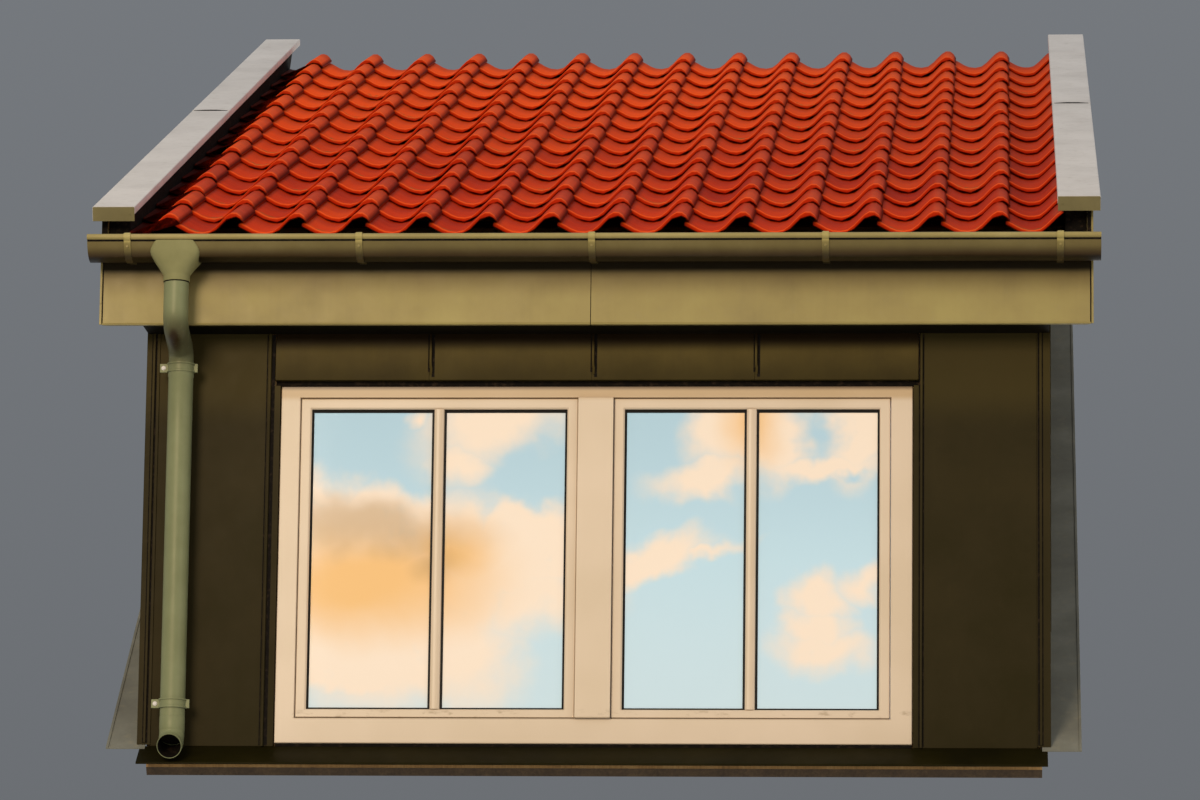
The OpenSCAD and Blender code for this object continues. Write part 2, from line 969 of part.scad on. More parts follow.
sole_frame();
front_wall();
left_cheek_wall();
right_cheek_wall();
roof_rafters();
roof_deck();
tile_battens();
roof_tiles();
left_kerb();
right_kerb();
left_cap_lower();
left_cap_upper();
right_cap_lower();
right_cap_upper();
left_verge_board();
right_verge_board();
left_side_soffit();
right_side_soffit();
left_fascia();
right_fascia();
front_soffit();
gutter();
gutter_brackets();
gutter_outlet();
swan_neck();
downpipe();
pipe_clips();
pipe_shoe();
left_wall_panel();
right_wall_panel();
header_panels();
left_corner_trim();
right_corner_trim();
sill_flashing();
left_cheek_cladding();
right_cheek_cladding();
left_side_flashing();
right_side_flashing();
window_frame();
mullion_cover();
left_sash();
right_sash();
left_glass();
right_glass();
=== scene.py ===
# %% [markdown]
# # A shed dormer window, dressed piece by piece
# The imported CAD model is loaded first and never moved: it is the frame that every piece is set in. All
# lengths below are written in millimetres, as on a roofer's drawing, and one place turns them to metres.

# %% Load the frame
from math import cos, pi, radians, sin, tan
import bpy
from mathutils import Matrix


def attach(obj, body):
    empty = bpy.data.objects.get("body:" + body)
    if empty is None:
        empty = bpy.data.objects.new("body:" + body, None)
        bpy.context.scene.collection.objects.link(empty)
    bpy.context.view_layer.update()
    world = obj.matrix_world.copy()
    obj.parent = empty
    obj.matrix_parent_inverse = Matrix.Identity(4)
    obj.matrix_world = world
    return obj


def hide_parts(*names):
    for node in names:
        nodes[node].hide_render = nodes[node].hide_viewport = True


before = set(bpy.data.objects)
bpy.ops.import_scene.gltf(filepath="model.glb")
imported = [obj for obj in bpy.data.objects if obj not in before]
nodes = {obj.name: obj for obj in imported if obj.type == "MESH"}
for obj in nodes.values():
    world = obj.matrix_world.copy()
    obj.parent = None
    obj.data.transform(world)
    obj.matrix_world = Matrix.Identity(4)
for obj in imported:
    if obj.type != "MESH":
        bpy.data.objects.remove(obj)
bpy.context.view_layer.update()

from types import SimpleNamespace

import bpy
import numpy as np
from mathutils import Matrix

# %% [markdown]
# ## The camera comes first
# The photo looks up at the dormer from far below it, through a long lens. A camera is a point, a direction
# and a roll, so it could be aimed with a constraint, but writing its three axes out as columns leaves nothing
# to guess. The lens is the fitted focal length in pixels, times the sensor width, over the image width of
# 1200 pixels.

# %% Camera
def into_scene(name, data):
    """A new object with this data, linked to the scene."""
    made = bpy.data.objects.new(name, data)
    bpy.context.scene.collection.objects.link(made)
    return made


def placed(axes, place):
    """The 4 by 4 matrix whose columns are three axes and a place."""
    matrix = np.eye(4)
    matrix[:3, :3] = np.transpose(axes)
    matrix[:3, 3] = place
    return Matrix(matrix.tolist())


FOCAL_PX, IMAGE_PX, SENSOR = 6200, 1200, 36
yaw, pitch, roll = radians(-3.818), radians(11.183), radians(0.703)
forward = np.array([sin(yaw) * cos(pitch), cos(yaw) * cos(pitch), sin(pitch)])
level = np.array([cos(yaw), -sin(yaw), 0.0])
upright = np.cross(level, forward)
right = cos(roll) * level + sin(roll) * upright
up = -sin(roll) * level + cos(roll) * upright

camera = into_scene("camera", bpy.data.cameras.new("camera"))
camera.data.sensor_width = SENSOR
camera.data.lens = FOCAL_PX * SENSOR / IMAGE_PX
camera.data.clip_end = 200
camera.matrix_world = placed((right, up, -forward), (1.315, -19.583, -2.674))
bpy.context.scene.camera = camera
print("lens", camera.data.lens, "mm")

# %% [markdown]
# ## Light and floor
# The photo has an evening glow without a hard shadow: warm from the left front, cool from the sky above, and
# almost nothing from below, so that undersides go black. One wide warm lamp gives the glow. Two weak ones
# keep the right end and the back from going flat.

# %% Lamps
def unit(vectors):
    """A vector, or each row of vectors, divided by its length."""
    return vectors / np.linalg.norm(vectors, axis=-1, keepdims=True)


def lamp(name, place, aim, size, watts, colour):
    """A square area lamp at place that faces aim: its -Z axis is the unit vector from place to aim."""
    light = bpy.data.lights.new(name, "AREA")
    light.size, light.energy, light.color = size, watts, colour
    towards = unit(np.subtract(aim, place))
    side = unit(np.cross(towards, (0, 0, 1)))
    into_scene(name, light).matrix_world = placed((side, np.cross(side, towards), -towards), place)


lamp("glow_lamp", (-5.0, -15.5, 5.2), (0, 0.6, 1.2), 5, 1640, (1.0, 0.86, 0.66))
lamp("fill_lamp", (11.0, -10.0, 4.0), (0, 0.6, 1.2), 6, 260, (1.0, 0.95, 0.88))
lamp("back_lamp", (5.0, 13.0, 1.5), (0, 1.8, 1.2), 6, 420, (1.0, 0.95, 0.88))

print("three lamps")

# %% [markdown]
# A world that is bright overhead, dim behind the dormer and dark below gives the rest of the light. One even
# world colour would be simpler, but it would light the soffits from below. The camera looks up, so the floor
# doesn't show in this view.

# %% World and floor
world = bpy.data.worlds.new("soft studio")
world.use_nodes = True
tree = world.node_tree
heading = tree.nodes.new("ShaderNodeTexCoord").outputs["Generated"]
split = tree.nodes.new("ShaderNodeSeparateXYZ")
tree.links.new(heading, split.inputs[0])
high = tree.nodes.new("ShaderNodeMapRange")
behind = tree.nodes.new("ShaderNodeMapRange")
mixed = tree.nodes.new("ShaderNodeMix")
for ranged, output, ends in ((high, "Z", (-0.05, 1.0, 0.30, 0.95)), (behind, "Y", (-0.3, 0.8, 1.0, 0.42))):
    tree.links.new(split.outputs[output], ranged.inputs["Value"])
    for socket, value in zip(("From Min", "From Max", "To Min", "To Max"), ends):
        ranged.inputs[socket].default_value = value
mixed.data_type, mixed.blend_type = "RGBA", "MULTIPLY"
mixed.inputs[0].default_value = 1.0
mixed.inputs[6].default_value = (0.86, 0.92, 1.0, 1)
tree.links.new(high.outputs[0], mixed.inputs[7])
tree.links.new(mixed.outputs[2], tree.nodes["Background"].inputs["Color"])
tree.links.new(behind.outputs[0], tree.nodes["Background"].inputs["Strength"])
bpy.context.scene.world = world
bpy.context.scene.view_settings.view_transform = "Standard"

floor_mesh = bpy.data.meshes.new("studio_floor")
floor_mesh.from_pydata([(-40, -40, -3), (40, -40, -3), (40, 40, -3), (-40, 40, -3)], [], [(0, 1, 2, 3)])
floor = into_scene("studio_floor", floor_mesh)
print("a world that is bright overhead and a floor 3 m down")

# %% [markdown]
# ## Lines that the whole dormer hangs on
# The dormer's own roof rises at 21 degrees, and the seat that it stands on at 39. Every sloping cut is where
# a plane of one meets a plane of the other, so both planes are functions here, as they are in the CAD source.

# %% Roof planes
ROOF, SEAT = radians(21), radians(39)
EAVE_Y, EAVE_Z = -270.0, 1738.0
TILE_PLANE = 97.0
FACE_Y, FRAME_Y, FASCIA_Y, BOARD_Y = -70.0, -45.0, -220.0, -200.0
FASCIA_Z, FASCIA_TOP, PANEL_TOP = 1410.0, 1655.0, 1422.0
HALF_BODY, HALF_FRAME, HALF_VERGE, HALF_DECK = 1454.0, 1429.0, 1594.0, 1574.0
KERB_IN, TILE_HALF, CAP_IN = 1504.0, 1500.0, 1480.0
DECK_TOP, RAFTER_TOP, RAFTER_LOW = -95.4, -113.4, -253.4


def roof_z(y, h):
    """Height of the plane h above the tiles' side laps: eaves height + (y - eaves y) tan 21 + h / cos 21."""
    return EAVE_Z + (y - EAVE_Y) * tan(ROOF) + h / cos(ROOF)


def seat_z(y, h):
    """Height of the plane h above the roof seat: y tan 39 + h / cos 39."""
    return y * tan(SEAT) + h / cos(SEAT)


def meet(roof_h, seat_h):
    """(y, z) where a plane of the dormer's roof meets a plane of the seat slope."""
    y = (roof_z(0, roof_h) - seat_z(0, seat_h)) / (tan(SEAT) - tan(ROOF))
    return y, seat_z(y, seat_h)


def on_roof(x, s, h):
    """Points s up the dormer's slope, h off it: y = eaves - h sin + s cos, z = eaves + s sin + h cos."""
    x, s, h = np.broadcast_arrays(x, s, h)
    return np.stack([x, EAVE_Y + s * cos(ROOF) - h * sin(ROOF), EAVE_Z + s * sin(ROOF) + h * cos(ROOF)], -1)


def reach(h):
    """How far up the dormer's slope its plane h runs before it meets the tile plane over the seat."""
    return (meet(h, TILE_PLANE)[0] - (EAVE_Y - h * sin(ROOF))) / cos(ROOF)


SLOPE_AXES = ((0, cos(ROOF), sin(ROOF)), (0, -sin(ROOF), cos(ROOF)))
VERGE_AXES = ((1, 0, 0), (0, -sin(ROOF), cos(ROOF)))
SOFFIT_LOW = (FASCIA_Z - roof_z(FASCIA_Y, 0)) * cos(ROOF)
print("the tiles end", round(reach(0)), "mm up the slope")

# %% [markdown]
# ## How a piece is made
# Almost everything on a dormer is a section that runs along a line: a fold of sheet, a board, a pipe. So one
# helper carries an outline along stations, and a piece is a list of such shells joined in one mesh. Extruding
# by hand would give the same shapes, but an array of points can be checked, and its faces can be turned
# outwards by the sign of its volume.

# %% Shells
def outward(points, groups):
    """Turns the faces round if the volume, the sum of p0 . (p1 x p2) / 6 over all triangles, is negative."""
    volume = 0.0
    for g in groups:
        p = points[g]
        volume += np.einsum("fi,fni->", p[:, 0], np.cross(p[:, 1:-1], p[:, 2:]))
    return points, [g[:, ::-1] if volume < 0 else g for g in groups]


def faces(count, n, loop=False):
    """Faces of count stations of n points: quads between neighbours and, unless it loops, two end caps."""
    i, j = np.meshgrid(np.arange(count if loop else count - 1), np.arange(n), indexing="ij")
    k, i2 = (j + 1) % n, (i + 1) % count
    quads = np.stack([i * n + j, i * n + k, i2 * n + k, i2 * n + j], -1).reshape(-1, 4)
    ends = np.arange(n)
    return [quads] if loop else [quads, np.stack([ends[::-1], (count - 1) * n + ends])]


def carry(outline, origins, across, upward, loop=False):
    """An outline of (a, b) points carried along stations: point = origin + a * across + b * upward."""
    origins = np.asarray(origins, float)
    count = len(origins)
    outline = np.broadcast_to(outline, (count,) + np.shape(outline)[-2:])
    across, upward = (np.broadcast_to(v, (count, 3)) for v in (across, upward))
    points = origins[:, None] + outline[..., :1] * across[:, None] + outline[..., 1:] * upward[:, None]
    return outward(points.reshape(-1, 3), faces(count, points.shape[1], loop))


def along_x(yz, x0, x1):
    """A prism along X with its outline in (y, z)."""
    return carry(yz, [(x0, 0, 0), (x1, 0, 0)], (0, 1, 0), (0, 0, 1))


def along_y(xz, y0, y1):
    """A prism along Y with its outline in (x, z)."""
    return carry(xz, [(0, y0, 0), (0, y1, 0)], (1, 0, 0), (0, 0, 1))


def along_z(xy, z0, z1):
    """A prism along Z with its outline in (x, y)."""
    return carry(xy, [(0, 0, z0), (0, 0, z1)], (1, 0, 0), (0, 1, 0))


def block(x0, x1, y0, y1, z0, z1):
    """A box between two corners."""
    return along_z([(x0, y0), (x1, y0), (x1, y1), (x0, y1)], z0, z1)


def arc_points(angle, radius, tall=1.0, a=0.0, b=0.0):
    """Points (a + radius cos, b + tall radius sin) of an arc or, when tall isn't 1, of an ellipse."""
    return np.stack([a + radius * np.cos(angle), b + tall * radius * np.sin(angle)], -1)


def round_head(a, b, radius, count=12):
    """Points of a circle about (a, b), for rivets, screws and posts."""
    return arc_points(np.linspace(0, 2 * pi, count, endpoint=False), radius, 1.0, a, b)


def mirrored(shell):
    """The same shell on the other side: x becomes -x, and the faces are turned back outwards."""
    points, groups = shell
    return outward(points * (-1, 1, 1), groups)


def kept(shell):
    """The shell as it is, on the right side that all side pieces are drawn for."""
    return shell


SIDES = (("left_", mirrored), ("right_", kept))
print("helpers: carry, prisms along X, Y and Z, round heads and mirroring")

# %% [markdown]
# A piece is its shells and its finish. The mesh is filled from whole arrays. A small
# live bevel rounds what a folding machine or a plane would round, and it keeps the flat faces flat.

# %% Pieces
def piece(name, shells, finish, slot, replaces=(), bevel=0.0, sharp=35, values=None):
    """Makes one mesh object from shells in millimetres, rides it on the root body and prints its size."""
    points = np.concatenate([p for p, _ in shells]) / 1000
    starts = np.cumsum([0] + [len(p) for p, _ in shells])
    groups = [g + start for (_, gs), start in zip(shells, starts) for g in gs]
    corners = np.concatenate([g.ravel() for g in groups]).astype(np.int32)
    sizes = np.concatenate([np.full(len(g), g.shape[1]) for g in groups])
    mesh = bpy.data.meshes.new(name)
    mesh.vertices.add(len(points))
    mesh.vertices.foreach_set("co", points.ravel().astype(np.float32))
    mesh.loops.add(len(corners))
    mesh.loops.foreach_set("vertex_index", corners)
    mesh.polygons.add(len(sizes))
    mesh.polygons.foreach_set("loop_start", np.concatenate([[0], np.cumsum(sizes)[:-1]]).astype(np.int32))
    mesh.update(calc_edges=True)
    mesh.polygons.foreach_set("use_smooth", np.ones(len(sizes), bool))
    if not bevel:
        mesh.set_sharp_from_angle(angle=radians(sharp))
    for key, per_point in (values or {}).items():
        layer = mesh.attributes.new(key, "FLOAT", "POINT")
        layer.data.foreach_set("value", np.asarray(per_point, np.float32))
    mesh.materials.append(finish)
    made = into_scene(name, mesh)
    if bevel:
        soft = made.modifiers.new("soft edges", "BEVEL")
        soft.width, soft.segments, soft.limit_method = bevel / 1000, 2, "ANGLE"
        soft.angle_limit, soft.harden_normals = radians(sharp), True
    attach(made, "root")
    if replaces:
        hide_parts(*replaces)
    print(name, int(sizes.sum() - 2 * len(sizes)), "triangles,", np.round(np.ptp(points, axis=0), 3), "m")
    return made


def both(name, shells, finish, slot, replaced, **more):
    """The same piece twice, mirrored at the left and as drawn at the right."""
    for side, turn in SIDES:
        piece(side + name, [turn(shell) for shell in shells], finish, slot, [side + replaced], **more)


def dress(finish, *names):
    """Gives CAD nodes that keep their shape their finish."""
    for name in names:
        nodes[name].material_slots[0].material = finish
    print("dressed", ", ".join(names))


# %% [markdown]
# ## Finishes
# Each finish starts from the real material. Colours are written as sRGB hex, as a paint card gives them, and
# one function turns them to the linear numbers that light is added up in. The other helpers add shader nodes
# to the finish that was started last, which lies on the bench, so that a recipe reads like a formula.

# %% Colour and node helpers
def linear(code):
    """sRGB hex to linear RGBA: c / 12.92 below 0.04045, else ((c + 0.055) / 1.055) ^ 2.4."""
    c = np.array([int(code[k:k + 2], 16) / 255 for k in (1, 3, 5)])
    c = np.where(c <= 0.04045, c / 12.92, ((c + 0.055) / 1.055) ** 2.4)
    return (*map(float, c), 1.0)


bench = SimpleNamespace(tree=None, shader=None, where=None)


def node(kind, settings=(), links=()):
    """Adds a shader node. Settings name properties or inputs, stops fill a colour ramp, links feed inputs."""
    made = bench.tree.nodes.new("ShaderNode" + kind)
    for key, value in dict(settings).items():
        if key == "stops":
            ramp_stops = made.color_ramp.elements
            for k, (position, code) in enumerate(value):
                stop = ramp_stops[k] if k < 2 else ramp_stops.new(position)
                stop.position = position
                stop.color = linear(code)
        elif isinstance(key, str) and hasattr(made, key):
            setattr(made, key, value)
        else:
            made.inputs[key].default_value = value
    for key, output in dict(links).items():
        bench.tree.links.new(output, made.inputs[key])
    return made


def feed(socket, value):
    """Gives an input a number, a hex colour, or the output of a node."""
    if isinstance(value, bpy.types.NodeSocket):
        bench.tree.links.new(value, socket)
    else:
        socket.default_value = linear(value) if isinstance(value, str) else value


def start(name, rough, **sockets):
    """Puts a new finish on the bench: its shader, and the Object coordinates that its patterns read."""
    finish = bpy.data.materials.new(name)
    finish.use_nodes = True
    bench.tree = finish.node_tree
    bench.shader = bench.tree.nodes["Principled BSDF"]
    bench.where = node("TexCoord").outputs["Object"]
    for key, value in {"Roughness": rough, **sockets}.items():
        feed(bench.shader.inputs[key.replace("_", " ")], value)
    return finish


def paint(colour, socket="Base Color"):
    """Feeds the result of a recipe to the shader."""
    feed(bench.shader.inputs[socket], colour)


def bump(height, depth):
    """Raises the surface by height times depth in millimetres, for the light only."""
    paint(node("Bump", {"Distance": depth / 1000, "Strength": 1.0}, {"Height": height}).outputs[0], "Normal")


def grain(size, detail=4.0, stretch=(1, 1, 1), turn=(0, 0, 0)):
    """A noise whose blotches are about size millimetres across, and longer along an axis of small scale."""
    place = node("Mapping", {"Rotation": turn, "Scale": stretch}, {"Vector": bench.where}).outputs[0]
    return node("TexNoise", {"Scale": 1000 / size, "Detail": detail, "Roughness": 0.6},
                {"Vector": place}).outputs["Fac"]


def axis(letter):
    """One coordinate of the place, in metres."""
    return node("SeparateXYZ", {}, {0: bench.where}).outputs[letter]


print("a bench for finishes, with noise and coordinates")

# %% [markdown]
# A weathered colour is a base with one veil after another laid over it, each where a mask lets it show. So
# these helpers add and multiply masks, and tint lays one veil. All masks are soft, because little outdoors
# ends in a hard line.

# %% Mixing helpers
def maths(kind, first, *others):
    """Joins values by one operation, from left to right; each may be a number."""
    for other in others:
        made = node("Math", {"operation": kind})
        feed(made.inputs[0], first)
        feed(made.inputs[1], other)
        first = made.outputs[0]
    return first


def times(*values):
    """The product of values."""
    return maths("MULTIPLY", *values)


def plus(*values):
    """The sum of values."""
    return maths("ADD", *values)


def ramp(stops, value):
    """A colour for each value, between stops of (position, hex code)."""
    return node("ValToRGB", {"stops": stops}, {"Fac": value}).outputs[0]


def blend(share, low, high):
    """Mixes two colours by a share: low (1 - share) + high share."""
    mixed = node("Mix", {"data_type": "RGBA"}, {0: share})
    feed(mixed.inputs[6], low)
    feed(mixed.inputs[7], high)
    return mixed.outputs[2]


def tint(base, share, amount, code):
    """The base colour with an amount of another one wherever share is 1."""
    return blend(times(share, amount), base, code)


def mask(value, low, high):
    """0 below low, 1 above high, and smooth between them; with low above high it is the other way round."""
    return node("MapRange", {"interpolation_type": "SMOOTHSTEP", "From Min": low, "From Max": high},
                {"Value": value}).outputs[0]


def band(value, low, low_full, high_full, high):
    """1 from low_full to high_full, 0 outside low and high."""
    return times(mask(value, low, low_full), mask(value, high, high_full))


def oval(place, x, z, wide, tall, tilt=0.0, soft=0.3):
    """1 in a tilted ellipse about (x, z) metres, 0 outside, soft between: the length of place / half axes."""
    local = node("Mapping", {"vector_type": "TEXTURE", "Location": (x, 0, z), "Rotation": (0, tilt, 0),
                                       "Scale": (wide, 1000, tall)}, {"Vector": place}).outputs[0]
    far = node("VectorMath", {"operation": "LENGTH"}, {0: local}).outputs["Value"]
    return mask(far, 1 + soft, 1 - soft)


print("sums, ramps, blends, masks and ovals")

# %% [markdown]
# ### Coated sheet
# Gutter, fascia, cladding and cappings are coil-coated steel: a thin polyester film, baked flat, over zinc.
# That gives a satin sheen, an almost even colour, and a skin that is never quite flat, because thin sheet
# dishes between its folds. Rain leaves faint upright streaks and a little dust. The streaks are noise
# squeezed upright.

# %% Coated sheet
def coated_sheet(name, dark, plain, pale, rough=0.42, level=0.25, dish=1.0, dust=0.12,
                 dust_code="#8C8064", painted_shading=(), stains=()):
    """Three tones over 250 mm clouds and faint upright streaks, with dust, dishing and painted shading by
    height.

    painted_shading holds (z where it starts, z where it is full, share, colour): bands of painted shade,
    and of painted light where the colour is paler. stains hold (x, z, half width, half height, softness,
    share).
    """
    finish = start(name, rough, IOR=1.5, Specular_IOR_Level=level, Specular_Tint=(1.0, 0.86, 0.66, 1))
    clouds, streaks = grain(250), grain(14, 3, (1, 1, 0.03))
    tone = ramp([(0.3, dark), (0.5, plain), (0.7, pale)], plus(times(clouds, 0.9), times(streaks, 0.1)))
    tone = tint(tone, mask(grain(30, 6), 0.52, 0.8), dust, dust_code)
    if painted_shading:
        ragged = plus(axis("Z"), times(maths("SUBTRACT", clouds, 0.5), 0.004))
    # Each band paints shade by height, and paints light where its colour is paler than the sheet.
    for low, high, share, code in painted_shading:
        tone = tint(tone, mask(ragged, low, high), share, code)
    for x, z, wide, tall, soft, amount in stains:
        spot = times(oval(bench.where, x, z, wide, tall, 0.0, soft), mask(grain(10), 0.1, 0.45))
        tone = tint(tone, spot, amount, "#2A1B08")
    paint(tone)
    paint(plus(times(grain(60), 0.2), rough - 0.1), "Roughness")
    bump(plus(grain(300, 1), times(grain(3, 2), 0.012)), dish * 4)
    return finish


# On the fascia, painted shade: the gutter's shadow over its upper part, near black just under the gutter.
olive_coat = coated_sheet("olive polyester coated steel", "#87774A", "#93824F", "#9B8B54",
                          painted_shading=[(1.488, 1.585, 0.62, "#3A2206"), (1.572, 1.594, 0.92, "#0C0602")])
verge_coat = coated_sheet("olive coated verge sheet", "#87774A", "#93824F", "#9B8B54")
# Painted shade under the bead and down the gutter's lower half, near black at its bottom.
gutter_coat = coated_sheet("olive coated gutter", "#87774A", "#93824F", "#A08F5C",
                           painted_shading=[(1.6560, 1.6530, 0.58, "#2A1C06"), (1.637, 1.603, 0.88, "#2C1404"),
                                  (1.610, 1.602, 0.9, "#080401")])
# The straps carry the same painted shade below the bead and towards the bottom.
strap_coat = coated_sheet("olive coated strap", "#958551", "#A19056", "#AE9D64",
                          painted_shading=[(1.652, 1.640, 0.45, "#2A1C06"), (1.635, 1.603, 0.85, "#1E0C03")])
pipe_coat = coated_sheet("grey olive coated tube", "#696B49", "#747653", "#7E815D", dish=0.4,
                         stains=[(-1.336, 1.352, 0.060, 0.052, 0.8, 0.7),
                                 (-1.340, 1.348, 0.017, 0.024, 0.5, 1.0)])
funnel_coat = coated_sheet("olive coated funnel", "#736E47", "#7D784E", "#878257", dish=0.4)
# Painted light: the dark wall sheet is paler towards the top.
brown_coat = coated_sheet("dark brown coated steel", "#28220F", "#2C2513", "#302815", 0.45, 0.06, 1.2,
                          0.06, "#4A3E26", painted_shading=[(1.09, 1.24, 0.55, "#43381A")])
# Near black, this is painted shade: the soffits face down, away from the light.
shade_coat = coated_sheet("brown coated sheet, painted dark as shade", "#0B0905", "#0F0C06", "#141008", 0.6, 0.06, 1.0,
                          0.05, "#241C10")
# A darker copy of the wall sheet: painted shade on the sill.
sill_coat = coated_sheet("brown coated sill sheet", "#151205", "#1A1605", "#201B08", 0.5, 0.03, 1.2,
                         0.06, "#2E2810")
# Painted shade darkens the header towards its foot, and a painted shadow lies under the soffit at its top.
header_coat = coated_sheet("brown coated header sheet", "#43371A", "#4C3F1D", "#554721", 0.42, 0.07, 1.2,
                           0.08, "#6A5A34",
                           painted_shading=[(1.37, 1.25, 0.5, "#0A0802"), (1.350, 1.390, 0.93, "#160A02")])
end_coat = coated_sheet("olive grey end plate", "#6A6040", "#756A46", "#80744E", 0.5, 0.2, 0.6, 0.2,
                        "#5C5238")
cap_coat = coated_sheet("weathered light grey sheet", "#C6BDB4", "#D2C9C0", "#DAD1C8", 0.5, 0.15, 1.2,
                        0.3, "#978A78")
soaker_coat = coated_sheet("dull grey flashing", "#605D52", "#6E6B5E", "#807D70", 0.6, 0.3, 1.2, 0.4)
print("thirteen coated sheets")

# %% [markdown]
# ### Engobed clay
# The tiles are fired clay with a red slip, or engobe, burnt on. The slip varies from tile to tile with its
# place in the kiln. A painted sky sheen greys the roll tops and their right shoulders, and painted light
# makes the upper courses brighter and more orange. Painted shade darkens each tile under the lip above it,
# its nose and underside, its side laps, the tiles by the left verge and the right side of the roof, and a
# painted highlight brightens each lip. Moss tints the lips of a few troughs. Each tile carries its own tone,
# and its places across and along the section, as attributes, because those follow the tile and not the room.

# %% Engobed clay
clay = start("red engobed clay", 0.5, IOR=1.5, Specular_IOR_Level=0.025, Specular_Tint=(1.0, 0.6, 0.4, 1))
tone, height, side, along, nose, lap = (node("Attribute", {"attribute_name": key}).outputs["Fac"]
                                         for key in ("tone", "height", "side", "along", "nose", "lap"))
firing = plus(times(tone, 0.55), times(grain(70), 0.45))
colour = ramp([(0.2, "#A82405"), (0.5, "#CC3608"), (0.8, "#DA480C")], firing)
patches = times(mask(grain(16, 5), 0.48, 0.54), mask(grain(240, 2), 0.52, 0.6))
layers = [
    (times(mask(height, 0.55, 1.0), mask(grain(45, 6), 0.35, 0.7)), 0.25, "#9A3A1E"),  # painted sky sheen on the roll tops, in patches
    (mask(grain(9, 3), 0.66, 0.74), 0.3, "#4A1608"),  # specks of soot
    (mask(axis("Z"), 2.0, 3.2), 0.85, "#FF5A0C"),  # painted light: brighter, more orange upper courses
    (mask(axis("X"), 0.0, 1.5), 0.28, "#8A1A04"),  # painted shade on the right side of the roof
    (band(side, 0.78, 0.87, 0.94, 1.0), 0.2, "#B4644A"),  # painted sky sheen on the right shoulder of the roll
    (mask(along, 0.3, 0.8), 0.36, "#7A1004"),  # painted shade under the lip above
    (times(patches, mask(height, 0.45, 0.0), mask(along, 0.2, 0.08)), 1.0, "#6A6030"),  # moss in the trough
    (mask(along, 0.11, 0.05), 0.6, "#FF5F16"),  # painted highlight along the lip
    # Painted shade on each tail's front and underside.
    (nose, 0.84, "#9A0B02"),
    # Painted shadow in the side laps and by the left verge.
    (lap, 0.94, "#2C0402"),
]
for share, amount, code in layers:
    colour = tint(colour, share, amount, code)
paint(colour)
bump(plus(grain(40, 3), times(grain(2.5, 3), 0.25)), 1.0)
print("clay with a slip and", len(layers), "layers of weathering")

# %% [markdown]
# ### Softwood
# The carcass is sawn spruce. Wood is drawn by its grain, which runs along each member, so the same recipe is
# made four times with its long axis turned: across the dormer, up its roof, upright, and up the seat in dark
# tones that are painted shade.

# %% Softwood
def softwood(name, stretch, turn=(0, 0, 0), tones=("#8F6A3F", "#B5884F", "#D0A76C")):
    """Grain lines 9 mm apart that run 25 times as long, broad darker bands, and saw marks as a fine bump."""
    finish = start(name, 0.72, IOR=1.45)
    fine, broad = grain(9, 5, stretch, turn), grain(90, 2, stretch, turn)
    wood = ramp(zip((0.32, 0.5, 0.7), tones), plus(times(fine, 0.55), times(broad, 0.45)))
    to_knot = node("TexVoronoi", {"Scale": 2.2}, {"Vector": bench.where}).outputs["Distance"]
    paint(blend(mask(to_knot, 0.06, 0.03), wood, "#5E3A1C"))
    bump(fine, 0.8)
    return finish


wood_across = softwood("sawn spruce, grain across", (0.04, 1, 1))
wood_upslope = softwood("sawn spruce, grain up the slope", (1, 0.04, 1), (-ROOF, 0, 0))
wood_upright = softwood("sawn spruce, grain upright", (1, 1, 0.04))
# The seat's dark tones are painted shade.
wood_seat = softwood("aged spruce, grain up the main slope", (1, 0.04, 1), (-SEAT, 0, 0),
                     ("#3A2A18", "#4E3B24", "#644E32"))
print("four runs of softwood")

# %% [markdown]
# ### Window plastic, rubber and felt
# The frame is cream white uPVC: smooth, slightly glossy, with dirt only where water stands on the lower
# rails and along the joint of the sash's foot, where painted shade darkens it too. Painted shade tinges the
# head brown, with a painted shadow along its top. The gaskets are black EPDM rubber. Felt is dull, with a
# coarse grain, and thin strips of it stand for painted shadow in gaps and seams.

# %% Window plastic, rubber and felt
plastic = start("cream uPVC", 0.32, IOR=1.5, Specular_IOR_Level=0.3)
height = axis("Z")
cream = ramp([(0.35, "#CCB598"), (0.65, "#D4BDA2")], grain(400, 2))
smudge = mask(grain(28, 5, (0.5, 1, 1)), 0.54, 0.72)
on_sash_foot = band(height, 0.155, 0.163, 0.176, 0.196)
# Dirt and painted shade along the joint of the sash's foot and the frame.
joint_line = times(band(height, 0.153, 0.159, 0.162, 0.166), band(axis("X"), -0.962, -0.954, 0.947, 0.955))
dirt_and_joint_shade = plus(times(on_sash_foot, smudge, 0.45), times(joint_line, 0.25))
# Painted shade on the head rail, and a painted shadow along its top.
head_shade = tint(cream, mask(height, 1.185, 1.21), 0.55, "#A9803F")
head_shade = tint(head_shade, mask(height, 1.2215, 1.238), 0.8, "#3A2004")
paint(blend(dirt_and_joint_shade, head_shade, "#7C5F38"))
bump(grain(250, 1), 0.6)

rubber = start("black EPDM rubber", 0.6, IOR=1.5, Specular_IOR_Level=0.2)
paint(blend(grain(12), "#0E0A06", "#1A140D"))
bump(grain(4), 0.1)

# The same black felt, laid as thin strips, is painted shadow in seams, gaps and joints.
felt = start("black bitumen felt and painted shadow", 0.85, IOR=1.5, Specular_IOR_Level=0.1)
paint(blend(mask(grain(18, 6), 0.5, 0.75), "#120D08", "#32261A"))
bump(grain(6, 5), 1.5)
print("plastic, rubber and felt")

# %% [markdown]
# ### Glass
# Glass seen from below shows the sky and not the room, and a studio has no sky. A picture of a sky could be
# mirrored in it, but then nothing would be left to work out. So the outer face carries soft clouds as its
# colour, made of a few round puffs with torn edges.

# %% Sky in the glass
sky_glass = start("insulating glass with the sky in it", 0.05, IOR=1.52, Specular_IOR_Level=0.02)
sky = ramp([(0.0, "#C8DDE6"), (0.5, "#BFDAE6"), (1.0, "#B1CEDD")], mask(axis("Z"), 0.15, 1.2))


